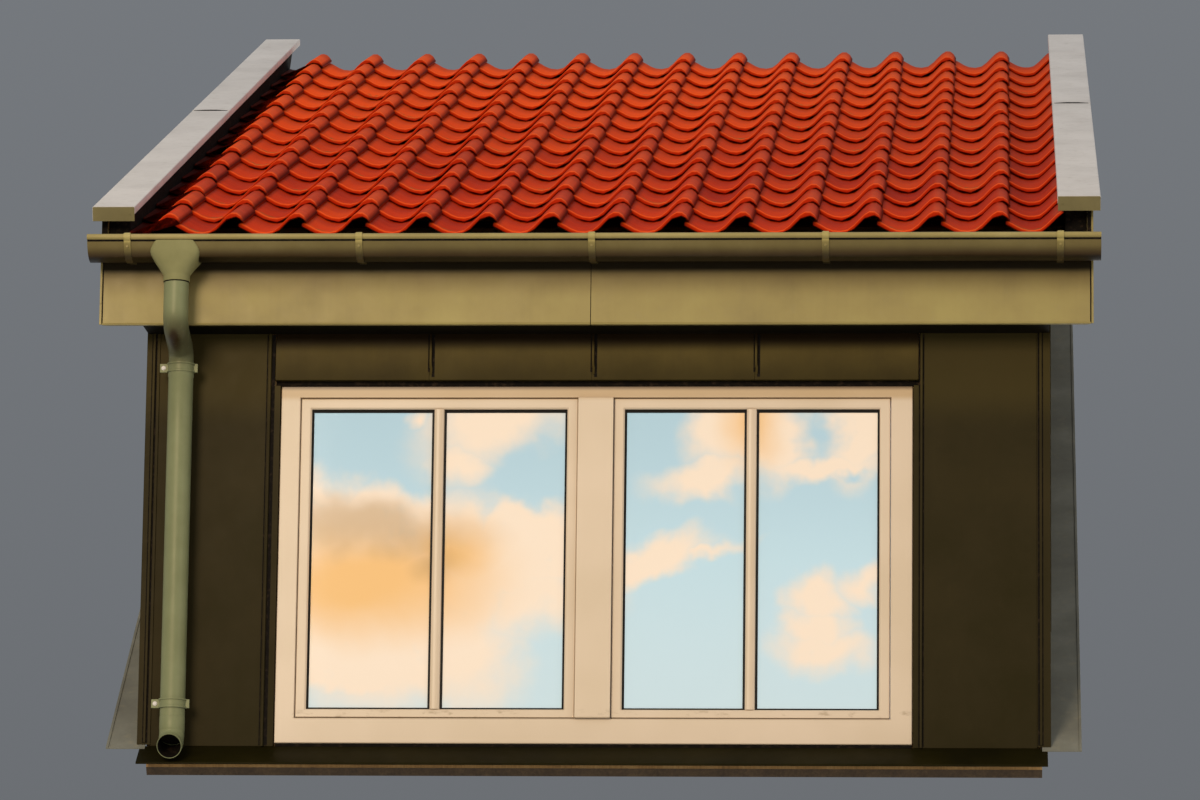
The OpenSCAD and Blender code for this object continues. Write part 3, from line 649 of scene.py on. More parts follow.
def torn(size, amount):
    """The place moved by up to amount metres by a noise whose swirls are size millimetres wide."""
    swirl = node("TexNoise", {"Scale": 1000 / size, "Detail": 3.0, "Roughness": 0.5},
                 {"Vector": bench.where}).outputs["Color"]
    middle = node("VectorMath", {"operation": "SUBTRACT", 1: (0.5, 0.5, 0.5)}, {0: swirl}).outputs[0]
    return node("VectorMath", {"operation": "MULTIPLY_ADD", 1: (amount, 0.0, amount)},
                {0: middle, 2: bench.where}).outputs[0]


def heap(place, ovals):
    """The largest of several ovals at each point: a heap of puffs. All but the first have softer rims."""
    puffs = [oval(place, *ovals[0])] + [oval(place, *puff[:5], 1.35 * puff[5]) for puff in ovals[1:]]
    return maths("MAXIMUM", *puffs)


edge = torn(160, 0.20)
banks = [(-0.74, 0.58, 0.42, 0.335, 0, 0.12), (-0.92, 0.9, 0.2, 0.06, 0.3, 0.6),
         (-0.6, 0.35, 0.3, 0.15, 0, 0.5), (-0.56, 1.13, 0.035, 0.028, 0, 0.7),
         (-0.3, 1.16, 0.26, 0.13, -0.45, 0.4), (-0.44, 0.99, 0.08, 0.07, 0, 0.6),
         (-0.21, 0.71, 0.2, 0.155, 0, 0.2), (-0.42, 0.64, 0.2, 0.24, 0, 0.3),
         (-0.4, 0.38, 0.17, 0.18, 0, 0.5), (-0.18, 0.54, 0.2, 0.12, 0, 0.5),
         (0.42, 1.14, 0.12, 0.18, 0, 0.35), (0.37, 0.95, 0.16, 0.055, -0.2, 0.5),
         (0.16, 0.67, 0.2, 0.065, -0.35, 0.35), (0.34, 0.705, 0.1, 0.02, -0.2, 0.8),
         (0.56, 1.08, 0.12, 0.14, 0, 0.35), (0.84, 1.09, 0.13, 0.16, 0, 0.35),
         (0.72, 0.98, 0.28, 0.045, 0, 0.5), (0.72, 0.55, 0.095, 0.085, 0, 0.4),
         (0.71, 0.455, 0.1, 0.07, 0, 0.4), (0.73, 0.39, 0.125, 0.07, 0.1, 0.5),
         (0.88, 0.6, 0.09, 0.04, -0.2, 0.7)]
clear = [(-0.2, 0.95, 0.2, 0.07, -0.35, 0.4), (0.71, 1.09, 0.055, 0.05, 0, 0.6),
         (0.84, 0.954, 0.05, 0.012, 0, 0.8), (-0.12, 0.36, 0.1, 0.11, 0, 0.6)]
warm = [(-0.74, 0.6, 0.36, 0.15, 0, 0.7), (-0.46, 0.68, 0.12, 0.1, 0, 0.8), (0.5, 1.13, 0.06, 0.12, 0, 0.9)]
dusky = [(-0.72, 0.78, 0.28, 0.06, 0.05, 0.8), (-0.5, 0.68, 0.06, 0.06, 0, 0.9)]
clouds = times(heap(edge, banks), maths("SUBTRACT", 1.0, heap(edge, clear)))
colour = blend(times(clouds, mask(grain(130, 3), -0.1, 0.42)), sky, "#F3E0CC")
colour = tint(colour, times(heap(torn(300, 0.15), warm), clouds), 0.95, "#EEBD7C")
paint(tint(colour, heap(torn(260, 0.2), dusky), 0.6, "#BC9868"))

room_glass = start("insulating glass, room side", 0.06, IOR=1.52)
paint(blend(grain(500), "#9DB4BC", "#B4C7CC"))
print(len(banks), "puffs of cloud in the outer glass")

# %% [markdown]
# ## Pantiles
# A pantile is S-shaped: a wide trough, then a narrow roll whose right edge lies on the left edge of the next
# tile. Its tail is rounded, and it rests on the course below, so each course steps down towards its head. All
# tiles are one closed section along four stations, repeated by adding arrays: 14 courses times 15 columns,
# with the outer columns cut to the verge. Small seeded shifts keep the rows from looking printed. Modelling
# one tile and copying it with array modifiers would be quicker to set up, but the outer tiles couldn't be cut
# and no tile could differ.

# %% Section of one tile
COURSES, GAUGE, LAP, COVER = 14, 327.0, 60.0, 205.0
TILE_LEFT, TILE_RIGHT, TROUGH, CREST = -10.0, 209.0, 39, 25
section_x = np.array([TILE_LEFT, 0, 14, 32, 52, 76, 100, 121, 139, 155, 170, 186, 199, TILE_RIGHT])
section_h = np.array([-9, -10, -17.5, -28.5, -36.5, -TROUGH, -34, -18, 1, 16, CREST, 24.5, 15, -1.0])
under = [13, 12, 11, 9, 7, 5, 3, 0]
thickness = np.array([6, 9, 12, 13, 13, 13, 13, 9.0])
FIRST_LAP = -1340
laps = FIRST_LAP + COVER * np.arange(-1, 14)
low_x = np.where(laps < -TILE_HALF, -TILE_HALF - laps, TILE_LEFT)
high_x = np.minimum(TILE_RIGHT, TILE_HALF - laps)
share = (section_x - TILE_LEFT) / (TILE_RIGHT - TILE_LEFT)
top_x = low_x[:, None] + share * (high_x - low_x)[:, None]
top_h = np.interp(top_x, section_x, section_h)
loop_x = np.concatenate([top_x, top_x[:, under]], 1)
loop_h = np.concatenate([top_h, top_h[:, under] - thickness], 1)
is_top = np.concatenate([np.ones(len(share)), np.zeros(len(under))])
station_s = np.array([0.0, 2.5, 8.0, GAUGE + LAP])
sink_top, lift_low = np.array([6.5, 2.2, 0.0, 0.0]), np.array([2.5, 0.6, 0.0, 0.0])
sink = -sink_top[:, None] * is_top + lift_low[:, None] * (1 - is_top)
print("a section of", loop_x.shape[1], "points in", len(laps), "columns")

# %% [markdown]
# The tiles are laid course by course. Each one tilts, because its tail rests on the head of the tile below,
# and each is shifted, lifted and turned by a hair, as tiles laid by hand are. One array holds all of them,
# and its axes are course, column, station along the tile and point of the section.

# %% Rows of tiles
STEP_DOWN = 15.3
chance = np.random.default_rng(7)
shift = chance.normal(0, 1, (4, COURSES, len(laps)))
aside, uphill, lift, skew = shift[..., None, None]
course = np.arange(COURSES)[:, None, None, None]
length = np.where(course < COURSES - 1, GAUGE + LAP, GAUGE)
v = np.minimum(station_s[None, None, :, None], length)
x = laps[None, :, None, None] + loop_x[None, :, None, :] + 1.3 * aside + 0.004 * v * skew / 2
x = np.clip(x, -TILE_HALF, TILE_HALF)
s = course * GAUGE + v + 2.0 * uphill * (course > 0) + 0 * x
h = loop_h[None, :, None, :] + sink[None, None] - v * STEP_DOWN / GAUGE + 0.8 * np.abs(lift)
tiles = on_roof(x, s, h)
count, m, n = COURSES * len(laps), len(station_s), loop_x.shape[1]
turned = outward(tiles.reshape(count, -1, 3)[20], faces(m, n))[1]
starts = (np.arange(count) * m * n)[:, None, None]
tile_shell = (tiles.reshape(-1, 3), [(g[None] + starts).reshape(-1, g.shape[1]) for g in turned])
print(count, "tiles")

# %% [markdown]
# The clay's recipe needs to know where on a tile it is. That could be painted by hand, but the arrays that
# made the points know it already, so it is stored on the mesh as attributes. nose is 1 on the tail's front
# and the underside, and lap is 1 along the side laps and by the left verge: the clay paints shade there.

# %% What each point of a tile knows
tone_of = np.clip(0.5 + 0.22 * shift[2].reshape(-1) * chance.choice([-1, 1], count), 0, 1)
height_of = np.broadcast_to((loop_h[None, :, None, :] + TROUGH) / (TROUGH + CREST), x.shape)
side_of = np.broadcast_to(np.concatenate([share, share[under]]), x.shape)
nose_of = np.minimum(np.array([1, 0.9, 0.0, 0.0])[:, None] * np.ones(n) + (1 - is_top), 1)
lap_line = np.concatenate([[1, 0.3], np.zeros(11), [1.0], np.full(len(under), 0.3)]) * np.ones((m, 1))
# Painted shade on the tiles by the left verge.
verge_dark = np.clip((-x - 1412) / 40, 0, 1)
values = {"tone": np.repeat(tone_of, m * n), "height": height_of.reshape(-1),
          "side": side_of.reshape(-1), "along": (v + 0 * x).reshape(-1) / (GAUGE + LAP),
          "nose": np.broadcast_to(nose_of, x.shape).reshape(-1),
          "lap": np.maximum(lap_line, verge_dark).reshape(-1)}
piece("pantiles", [tile_shell], clay, "roof_tile", ["roof_tiles"], sharp=50, values=values)

# %% [markdown]
# The head course has nothing above it, so daylight would show through its rolls. A comb of felt strips closes
# them: a thin upright strip whose upper edge follows the tiles' undersides.

# %% Felt comb
COMB_GAP, COMB_FOOT = 11, -94
comb_x = (laps[1:, None] + top_x[1:, 1:13]).ravel()
comb_top = top_h[1:, 1:13].ravel() - COMB_GAP
comb_foot = np.full(len(comb_x), COMB_FOOT)
near, far = (COURSES - 1) * GAUGE + 90.0, (COURSES - 1) * GAUGE + 98.0
comb = np.stack([np.stack([np.full(len(comb_x), a), b], -1)
                 for a, b in ((near, comb_foot), (far, comb_foot), (far, comb_top), (near, comb_top))], 1)
piece("felt_comb_under_head_course", [carry(comb, on_roof(comb_x, 0, 0), *SLOPE_AXES)], felt, "felt_black")

# %% [markdown]
# ## Carcass timber
# Behind the sheet is ordinary carpentry: a sloping sole frame, walls, six rafters, boards and battens. It
# shows from behind and below. Members are prisms with a small bevel, as sawn and slightly planed wood has,
# and the deck is drawn as single boards because its joints show between the rafters.

# %% Rafters, deck and battens
SOLE_TOP, RAFTER_W, RAFTERS, BOARD_W = 30, 45, 6, 121.0
spacing = (2 * HALF_FRAME - RAFTER_W) / (RAFTERS - 1)
rafter = [(BOARD_Y, roof_z(BOARD_Y, RAFTER_LOW)), meet(RAFTER_LOW, SOLE_TOP), meet(RAFTER_TOP, SOLE_TOP),
          (BOARD_Y, roof_z(BOARD_Y, RAFTER_TOP))]
rafters = [along_x(rafter, a, a + RAFTER_W) for a in -HALF_FRAME + spacing * np.arange(RAFTERS)]
piece("rafters", rafters, wood_upslope, "timber", ["roof_rafters"], bevel=2)

low_s = (BOARD_Y - EAVE_Y + DECK_TOP * sin(ROOF)) / cos(ROOF)
deck_end = meet(DECK_TOP, SOLE_TOP)[0]
top_s = (deck_end - EAVE_Y + DECK_TOP * sin(ROOF)) / cos(ROOF)
edges = np.append(np.arange(low_s + 34, top_s - 60, BOARD_W), top_s)
boards = []
for a, b in zip(np.append(low_s, edges[:-1]), edges):
    last = b == top_s
    joint = 0 if last else 2
    corner = on_roof(0, np.array([a, b - joint, b - joint, a]), np.repeat([RAFTER_TOP, DECK_TOP], 2))[:, 1:]
    if a == low_s:
        corner[0, 0], corner[0, 1] = BOARD_Y, roof_z(BOARD_Y, RAFTER_TOP)
    if last:
        corner[1] = meet(RAFTER_TOP, SOLE_TOP)
    boards.append(along_x(corner, -HALF_DECK, HALF_DECK))
piece("deck_boards", boards, wood_across, "timber", ["roof_deck"], bevel=1.5)

at = np.append(46.0, np.arange(1, COURSES) * GAUGE + LAP - 40)
wide = np.append(44.0, np.full(COURSES - 1, 40.0))
tops = np.append(-57.5, np.full(COURSES - 1, -71.4))
batten_ends = on_roof(np.array([-KERB_IN, KERB_IN]), 0, 0)
battens = [carry([(a, DECK_TOP), (a + w, DECK_TOP), (a + w, top), (a, top)], batten_ends, *SLOPE_AXES)
           for a, w, top in zip(at, wide, tops)]
piece("battens", battens, wood_across, "timber", ["tile_battens"], bevel=1.5)

# %% [markdown]
# The walls and the sole frame keep the shape of the CAD model and only get a finish. The kerbs under the
# verge cappings are timber under black felt. They run as far as their cappings, so their ends come from the
# roof planes.

# %% Walls, sole frame and kerbs
dress(wood_seat, "sole_frame")
dress(wood_upright, "front_wall", "left_cheek_wall", "right_cheek_wall")
LEFT_H, RIGHT_H, CAP_T, RIGHT_SHORT = 49.0, 75.0, 3.0, 263
LEFT_END, RIGHT_END = reach(LEFT_H), reach(RIGHT_H) - RIGHT_SHORT


def kerb(cap_h, cap_end):
    """The kerb's outline in (y, z): deck top, the cut along the seat slope, the capping's underside."""
    top = cap_h - CAP_T - 0.3
    low_end = min(on_roof(0, cap_end, DECK_TOP)[1], meet(DECK_TOP, SOLE_TOP)[0])
    top_end = on_roof(0, cap_end, top)[1]
    return along_x([(BOARD_Y, roof_z(BOARD_Y, DECK_TOP)), (low_end, roof_z(low_end, DECK_TOP)),
                    (top_end, roof_z(top_end, top)), (BOARD_Y, roof_z(BOARD_Y, top))], KERB_IN, HALF_DECK)


piece("left_kerb_felted", [mirrored(kerb(LEFT_H, LEFT_END))], felt, "felt_black", ["left_kerb"], bevel=2)
piece("right_kerb_felted", [kerb(RIGHT_H, RIGHT_END)], felt, "felt_black", ["right_kerb"], bevel=2)

# %% [markdown]
# ## Folded sheet
# Much of what follows is thin sheet bent on a machine. Its section is one line with small round corners,
# thickened to one side. A curve with a solidify modifier would look the same, but outlines made of points can
# be joined, bent along a path and measured.

# %% Lines that fold
def rounded(line, radius, steps=4):
    """An open line whose corners P are curves (1-t)^2 A + 2t(1-t) P + t^2 B, with A and B radius from P."""
    p = np.asarray(line, float)
    back, ahead = p[:-2] - p[1:-1], p[2:] - p[1:-1]
    reach_in = np.minimum(radius, 0.45 * np.minimum(np.linalg.norm(back, axis=1),
                                                    np.linalg.norm(ahead, axis=1)))
    a, b = (p[1:-1] + unit(v) * reach_in[:, None] for v in (back, ahead))
    t = np.linspace(0, 1, steps)[None, :, None]
    curve = (1 - t) ** 2 * a[:, None] + 2 * t * (1 - t) * p[1:-1][:, None] + t ** 2 * b[:, None]
    return np.concatenate([p[:1], curve.reshape(-1, 2), p[-1:]])


def folded(line, thick):
    """Outline of a bent sheet: the line, and the line moved by thick to its left, walked back."""
    p = np.asarray(line, float)
    d = unit(np.diff(p, axis=0))
    normal = np.stack([-d[:, 1], d[:, 0]], -1)
    n = np.concatenate([normal[:1], normal[:-1] + normal[1:], normal[-1:]])
    n /= np.maximum(np.sum(n * n, 1), 1e-9)[:, None]
    n[1:-1] *= 2
    return np.concatenate([p, (p + thick * n)[::-1]])


print("a corner of 4 mm takes", len(rounded([(0, 10), (0, 0), (10, 0)], 4)), "points with its two ends")

# %% [markdown]
# ## Verge cappings
# Each verge is closed by a folded sheet in two lengths, with a strip of felt under the joint and a bead of
# mastic in it, which gives the dark line across the sheet. Thin sheet nailed on a kerb is never flat, so the
# top face rises and sinks by a millimetre or two along its length, and more near the top end.

# %% Verge cappings
def on_verge(outline, s0, s1):
    """A prism up the verge from s0 to s1, with its outline in (distance from the capping's inner edge, h)."""
    return carry(outline, on_roof(CAP_IN, np.array([s0, s1]), 0), *VERGE_AXES)


def capping(phase, cap_h, s0, s1, lapped):
    """A folded channel: inner lip 26, top 137, outer fold 47, carried up the slope with a slight waviness."""
    line = rounded([(3.0, -26), (0, -24), (0, 0), (137, 0), (137, -47), (133, -47)], 4)
    outline = folded(line, -CAP_T + 1)
    s = np.linspace(s0, s1, 30)
    wave = 0.8 * np.sin(s / 260 + phase) + 0.6 * np.sin(s / 97 + 2 * phase)
    dent = np.exp(-((s - s1 + 300) / 90) ** 2) * (1.8 if lapped else 0.5)
    middle = np.clip(np.sin(pi * np.clip(outline[:, 0], 0, 137) / 137), 0, 1)
    shaped = np.repeat(outline[None], len(s), 0)
    shaped[..., 1] += cap_h + (wave - dent)[:, None] * middle[None] + (1.2 if lapped else 0)
    return carry(shaped, on_roof(CAP_IN, s, 0), *VERGE_AXES)


def end_plate(cap_h):
    """The plate that closes a capping over the gutter: 136 by 46, with cut upper corners and a rivet head."""
    face = [(1, -47), (136, -47), (136, -2.5), (133, -1), (4, -1), (1, -2.5)]
    rivet = round_head(16, cap_h - 24, 3.4)
    return [on_verge([(a, b + cap_h) for a, b in face], -0.8, 2.0), on_verge(rivet, -2.4, 0.0)]


def joint_seal(cap_h, joint):
    """A strip of felt under the joint of the two lengths, and a rounded bead of mastic in it."""
    strip = [(4, -6), (133, -6), (133, -2.6), (4, -2.6)]
    bead = [(8, -0.4), (129, -0.4), (129, 1.4), (92, 3.6), (50, 3.8), (8, 1.4)]
    return [on_verge([(a, b + cap_h) for a, b in strip], joint - 30, joint + 30),
            on_verge([(a, b + cap_h) for a, b in bead], joint - 1.6, joint + 1.2)]


two_caps = ((-1, LEFT_H, 2485, LEFT_END), (1, RIGHT_H, 2400, RIGHT_END))
for (side, turn), (phase, cap_h, joint, end) in zip(SIDES, two_caps):
    lower, upper = capping(phase, cap_h, 2.2, joint - 2, False), capping(phase, cap_h, joint + 1.5, end, True)
    piece(side + "capping_lower", [turn(lower)], cap_coat, "cap_sheet", [side + "cap_lower"])
    piece(side + "capping_upper", [turn(upper)], cap_coat, "cap_sheet", [side + "cap_upper"])
    piece(side + "capping_end", [turn(shell) for shell in end_plate(cap_h)], end_coat, "olive_sheet",
          bevel=0.6)
    piece(side + "capping_seal", [turn(shell) for shell in joint_seal(cap_h, joint)], felt, "felt_black")

# %% [markdown]
# ## Verge boards, soffits and fascia
# The overhang is boxed in with sheet-covered boards. These are plain prisms with a bevel, which is what
# folded sheet over a board looks like. The left verge sheet's fold stops at the gutter and leaves the felt
# bare above it.

# %% Overhang boards
def verge_board(cap_h, cap_end):
    """The verge board's outline: fascia foot, side soffit, seat slope, and back under the capping."""
    top = cap_h - CAP_T - 0.3
    end_y = min(on_roof(0, cap_end, top)[1], meet(top, TILE_PLANE)[0] - 5)
    return along_x([(FASCIA_Y, FASCIA_Z), meet(SOFFIT_LOW, TILE_PLANE), (end_y, seat_z(end_y, TILE_PLANE)),
                    (end_y, roof_z(end_y, top)), (FASCIA_Y, roof_z(FASCIA_Y, top))], HALF_DECK, HALF_VERGE)


def corner_fold(cap_h):
    """The verge sheet's front edge, folded 7 mm round the board's end, with a nick 68 mm above its foot."""
    top = roof_z(FASCIA_Y, cap_h - CAP_T - 0.5)
    return [block(HALF_VERGE - 7, HALF_VERGE, FASCIA_Y - 3.0, FASCIA_Y + 0.5, FASCIA_Z + 0.5, FASCIA_Z + 67),
            block(HALF_VERGE - 6, HALF_VERGE, FASCIA_Y - 3.0, FASCIA_Y + 0.5, FASCIA_Z + 69, top)]


left_sheet = [mirrored(shell) for shell in (verge_board(LEFT_H, LEFT_END), *corner_fold(-48))]
piece("left_verge_sheet", left_sheet, verge_coat, "olive_sheet", ["left_verge_board"], bevel=0.6)
right_sheet = [verge_board(RIGHT_H, RIGHT_END), *corner_fold(RIGHT_H)]
piece("right_verge_sheet", right_sheet, verge_coat, "olive_sheet", ["right_verge_board"], bevel=0.6)


def raw_end(cap_h, fold):
    """Dark felt over the verge board's end grain, above the gutter and inside the fold."""
    top = roof_z(FASCIA_Y, cap_h - CAP_T - 1)
    return block(HALF_DECK + 0.5, HALF_VERGE - fold, FASCIA_Y - 1.5, FASCIA_Y + 0.5, FASCIA_TOP + 1, top)


# A black strip beside each fold on the fascia: painted shadow in the gap.
fold_shadow = block(HALF_VERGE - 11, HALF_VERGE - 7.3, FASCIA_Y - 1.6, FASCIA_Y + 1, FASCIA_Z + 3, FASCIA_TOP)
end_felts = [mirrored(raw_end(LEFT_H, 0.5)), raw_end(RIGHT_H, 7.5), mirrored(fold_shadow), fold_shadow]
piece("verge_end_felts", end_felts, felt, "felt_black")

# %% [markdown]
# The fascia is in two lengths with an open butt joint, and a small hem along its lower edge catches the
# light. A bevel on the board would give a rounded edge but no hem, so the skin is a folded line of its own.

# %% Soffits and fascia
SHEET_T = 12
soffit_face = [(BOARD_Y, roof_z(BOARD_Y, SOFFIT_LOW)), meet(SOFFIT_LOW, TILE_PLANE),
               meet(SOFFIT_LOW + SHEET_T, TILE_PLANE), (BOARD_Y, roof_z(BOARD_Y, SOFFIT_LOW + SHEET_T))]
# The soffit sheets carry the near-black painted shade.
both("soffit_sheet", [along_x(soffit_face, HALF_BODY, HALF_DECK)], shade_coat, "dark_sheet",
     "side_soffit", bevel=1)
dress(shade_coat, "front_soffit")

board_face = [(FASCIA_Y, FASCIA_Z + 0.5), (FASCIA_Y, FASCIA_TOP), (BOARD_Y, FASCIA_TOP),
              (BOARD_Y, FASCIA_Z + 0.5)]
skin = folded([(FASCIA_Y + 12, 1409.6), (FASCIA_Y - 2.2, 1409.6), (FASCIA_Y - 3.4, 1412),
               (FASCIA_Y - 2.2, 1414.4), (FASCIA_Y - 0.8, 1416), (FASCIA_Y - 0.8, FASCIA_TOP)], -0.8)
for side, board_x, skin_x in (("left", (-HALF_DECK, -13.5), (9 - HALF_VERGE, -12)),
                              ("right", (-8.0, HALF_DECK), (-9.5, HALF_VERGE - 9))):
    piece(side + "_fascia_sheet", [along_x(board_face, *board_x), along_x(skin, *skin_x)],
          olive_coat, "olive_sheet", [side + "_fascia"], sharp=30)
# A black strip behind the open butt joint: painted shade in the gap.
piece("fascia_joint_shadow_strip", [block(-16, -5, FASCIA_Y - 0.5, FASCIA_Y + 3, 1411, 1650)], felt, "felt_black")

# %% [markdown]
# ## Tubes
# A pipe is a circle carried along a path, square to it. A curve object with a round bevel would do for a
# plain bend, but here the radius changes along the path, and the shoe at the foot is open.

# %% Tubes and sleeves
def circles(path, radius, sides):
    """Circles of the given radii, and the direction square to the path in which each one stands."""
    p = np.asarray(path, float)
    upward = np.cross(unit(np.gradient(p, axis=0)), (1, 0, 0))
    return np.broadcast_to(radius, len(p))[:, None, None] * round_head(0, 0, 1, sides), p, upward


def tube(path, radius, sides=48):
    """A closed bar in a plane x = constant, round about the path."""
    rounds, p, upward = circles(path, radius, sides)
    return carry(rounds, p, (1, 0, 0), upward)


def sleeve(path, outer, inner, sides=48):
    """An open pipe wall: circles along the path, then smaller ones all the way back, closed in a loop."""
    rounds, p, upward = circles(path, outer, sides)
    there_and_back = [np.concatenate([there, there[::-1]]) for there in (p, upward)]
    rounds = np.concatenate([rounds, circles(path, inner, sides)[0][::-1]])
    return carry(rounds, there_and_back[0], (1, 0, 0), there_and_back[1], loop=True)


print("tube and sleeve: circles square to a path")

# %% [markdown]
# ## Gutter
# A half-round gutter is one strip of sheet: an upstand at the back, a trough that is a little shallower here
# than a true half circle, and a bead rolled at the front for stiffness. Its section is one line of points,
# thickened and carried along the eaves. The hole over the outlet is cut with a round bar, because a hole in a
# curved sheet is where arrays would be clumsy. A thin black strip under the bead is a painted shadow.

# %% Gutter
GUTTER_Y, GUTTER_Z, GUTTER_R, GUTTER_END = -301.5, 1667.0, 76.5, 1617.0
PIPE_X, BEAD_Y, BEAD_Z, BEAD_R, DEEP = -1336.0, -76.5, -2.5, 9.0, 0.9


def in_gutter(outline, x0, x1):
    """A prism along the eaves, with its outline in (y, z) from the gutter's centre line."""
    return along_x(np.asarray(outline) + (GUTTER_Y, GUTTER_Z), x0, x1)


strip = np.concatenate([[(GUTTER_R - 5, 12), (GUTTER_R, 12)],
                        arc_points(np.linspace(0, -pi + 0.2, 29), GUTTER_R, DEEP),
                        arc_points(np.radians(np.linspace(248, -50, 22)), BEAD_R, 1.0, BEAD_Y, BEAD_Z)])
disc = arc_points(np.linspace(0, -pi, 25), GUTTER_R - 1.7, DEEP)
trough = in_gutter(folded(strip, -1.4), -GUTTER_END, GUTTER_END)
gutter = [trough] + [in_gutter(disc, a, a + 2) for a in (-1613, 1611)]
gutter_piece = piece("half_round_gutter", gutter, gutter_coat, "olive_sheet", ["gutter"], sharp=50)


def cut_away(target, shells):
    """Cuts shells out of a piece with a boolean, and keeps the result as the piece's own mesh."""
    bar = piece(target.name + "_cutter", shells, target.data.materials[0], "olive_sheet")
    cutting = target.modifiers.new("cut", "BOOLEAN")
    cutting.operation, cutting.object, cutting.solver = "DIFFERENCE", bar, "EXACT"
    bpy.context.view_layer.update()
    cut_mesh = bpy.data.meshes.new_from_object(target.evaluated_get(bpy.context.evaluated_depsgraph_get()))
    target.modifiers.clear()
    target.data = cut_mesh
    bpy.data.objects.remove(bar)
    print(target.name, "cut:", len(cut_mesh.polygons), "faces")


cut_away(gutter_piece, [tube([(PIPE_X, GUTTER_Y, 1560), (PIPE_X, GUTTER_Y, 1640)], 38, 32)])
# A black strip under the bead: painted shadow.
bead_shadow = in_gutter([(-79.0, -12.2), (-75.4, -17.5), (-74.8, -11.5)], -GUTTER_END + 1, GUTTER_END - 1)
piece("gutter_bead_shadow", [bead_shadow], felt, "felt_black")

# %% [markdown]
# Five straps hold the gutter. Each is a flat bar bent round it, hooked over the bead, with a tail on the
# fascia. The strap is the gutter's own line, moved out by its thickness.

# %% Gutter brackets
hug = GUTTER_R + 0.3
over_bead = arc_points(np.radians(np.linspace(244, 10, 16)), BEAD_R + 0.3, 1.0, BEAD_Y, BEAD_Z)
strap_line = np.concatenate([[(81.2, -60), (81.2, 10), (hug + 0.5, 11)],
                             arc_points(np.linspace(-0.06, -pi + 0.2, 25), hug, DEEP), over_bead])
grip_line = np.concatenate([arc_points(np.linspace(-pi + 0.62, -pi + 0.2, 8), hug, DEEP), over_bead[:11]])
grip_line = folded(grip_line, 2.2)[:len(grip_line) - 1:-1]
straps = []
for x in np.linspace(-1488, 1488, 5):
    straps.append(in_gutter(folded(strap_line, 2.2), x - 11, x + 11))
    straps.append(in_gutter(folded(grip_line, 1.4), x - 8, x + 11))
    straps.append(along_y(round_head(x, GUTTER_Z - 33, 4.2), GUTTER_Y - 74.5, GUTTER_Y - 65))
piece("gutter_straps", straps, strap_coat, "olive_sheet", ["gutter_brackets"], bevel=0.5)

# %% [markdown]
# ## Outlet, swan neck, downpipe and shoe
# The outlet turns from a rectangle that hugs the gutter into the round of the pipe. A superellipse does that
# in one formula: |x/a|^n + |y/b|^n = 1 is a rounded box for n = 10 and a circle for n = 2. So the exponent
# and both half widths are functions of the height.

# %% Outlet funnel
def superellipse(a, b, power, count=64):
    """Points of |x/a|^n + |y/b|^n = 1, by x = a sign(cos) |cos|^(2/n), y = b sign(sin) |sin|^(2/n)."""
    t = (np.arange(count) + 0.5) * 2 * pi / count
    c, s = np.cos(t), np.sin(t)
    x, y = a * np.sign(c) * np.abs(c) ** (2 / power), b * np.sign(s) * np.abs(s) ** (2 / power)
    return np.stack([x, y], -1)


levels = [1533, 1534, 1552, 1556, 1575, 1595, 1610, 1619, 1628,
          1641, 1653, 1654, 1654, 1640, 1619, 1560, 1534]
half_x = [41.8, 42.6, 42.6, 44.5, 56, 70, 79, 81.5, 80.5, 74, 66.5, 65, 60, 66, 72, 44, 38.5]
half_y = [41.8, 42.6, 42.6, 44, 51.5, 60, 66.5, 70.5, 73.5, 77.5, 80.5, 79, 74, 72, 66, 42, 38.5]
power = [2, 2, 2, 2.1, 2.8, 4, 6, 8, 9, 10, 10, 10, 10, 10, 8, 2.3, 2]
loops = np.stack([superellipse(*sizes) for sizes in zip(half_x, half_y, power)])
funnel = carry(loops, [(PIPE_X, GUTTER_Y, level) for level in levels], (1, 0, 0), (0, 1, 0), loop=True)
funnel_piece = piece("outlet_funnel", [funnel], funnel_coat, "pipe_olive", ["gutter_outlet"], sharp=40)

cut_away(funnel_piece, [in_gutter(round_head(0, 0, 77.0, 96) * (1, DEEP), PIPE_X - 90, PIPE_X + 90)])
# A black ring where the pipe enters the funnel: a seal, darkened as painted shade under the funnel's lip.
seal = tube([(PIPE_X, GUTTER_Y, 1529.5), (PIPE_X, GUTTER_Y, 1533.2)], 41.0)
piece("outlet_joint_seal_and_shade", [seal], felt, "pipe_olive", sharp=60)

# %% [markdown]
# The pipe is one round tube that bends back under the fascia, runs down the wall and turns out at its foot.
# Its path is straight lines joined by arcs of 55 mm, and its radius is a function of the length along it:
# sockets swell it by a few millimetres. The shoe is an open pipe wall, with a black lining inside its mouth
# as painted shade.

# %% Pipe path
BEND, SWING, PIPE_Y, PIPE_R, SHOE_TOP = 55.0, radians(72), -140.0, 40.0, 107
run = (PIPE_Y - GUTTER_Y - 2 * BEND * (1 - cos(SWING))) / sin(SWING)
BEND_TOP = 1431.0
BEND_LOW = BEND_TOP - 2 * BEND * sin(SWING) - run * cos(SWING)


def arc(centre_y, centre_z, begin, end, steps=14):
    """Points of a bend in the YZ plane, at 55 mm from its centre, from one angle to another."""
    bend = arc_points(np.linspace(begin, end, steps), BEND, 1.0, centre_y, centre_z)
    return np.insert(bend, 0, PIPE_X, axis=1)


def drop_line(y, z):
    """An upright stretch of the path at the given heights."""
    return np.stack([np.full(len(z), PIPE_X), np.full(len(z), y), z], -1)


neck = np.concatenate([drop_line(GUTTER_Y, np.linspace(1552, BEND_TOP + 1, 6)),
                       arc(GUTTER_Y + BEND, BEND_TOP, pi, pi + SWING),
                       arc(PIPE_Y - BEND, BEND_LOW, SWING, 0)])
piece("swan_neck_pipe", [tube(neck, PIPE_R)], pipe_coat, "pipe_olive", ["swan_neck"], sharp=60)

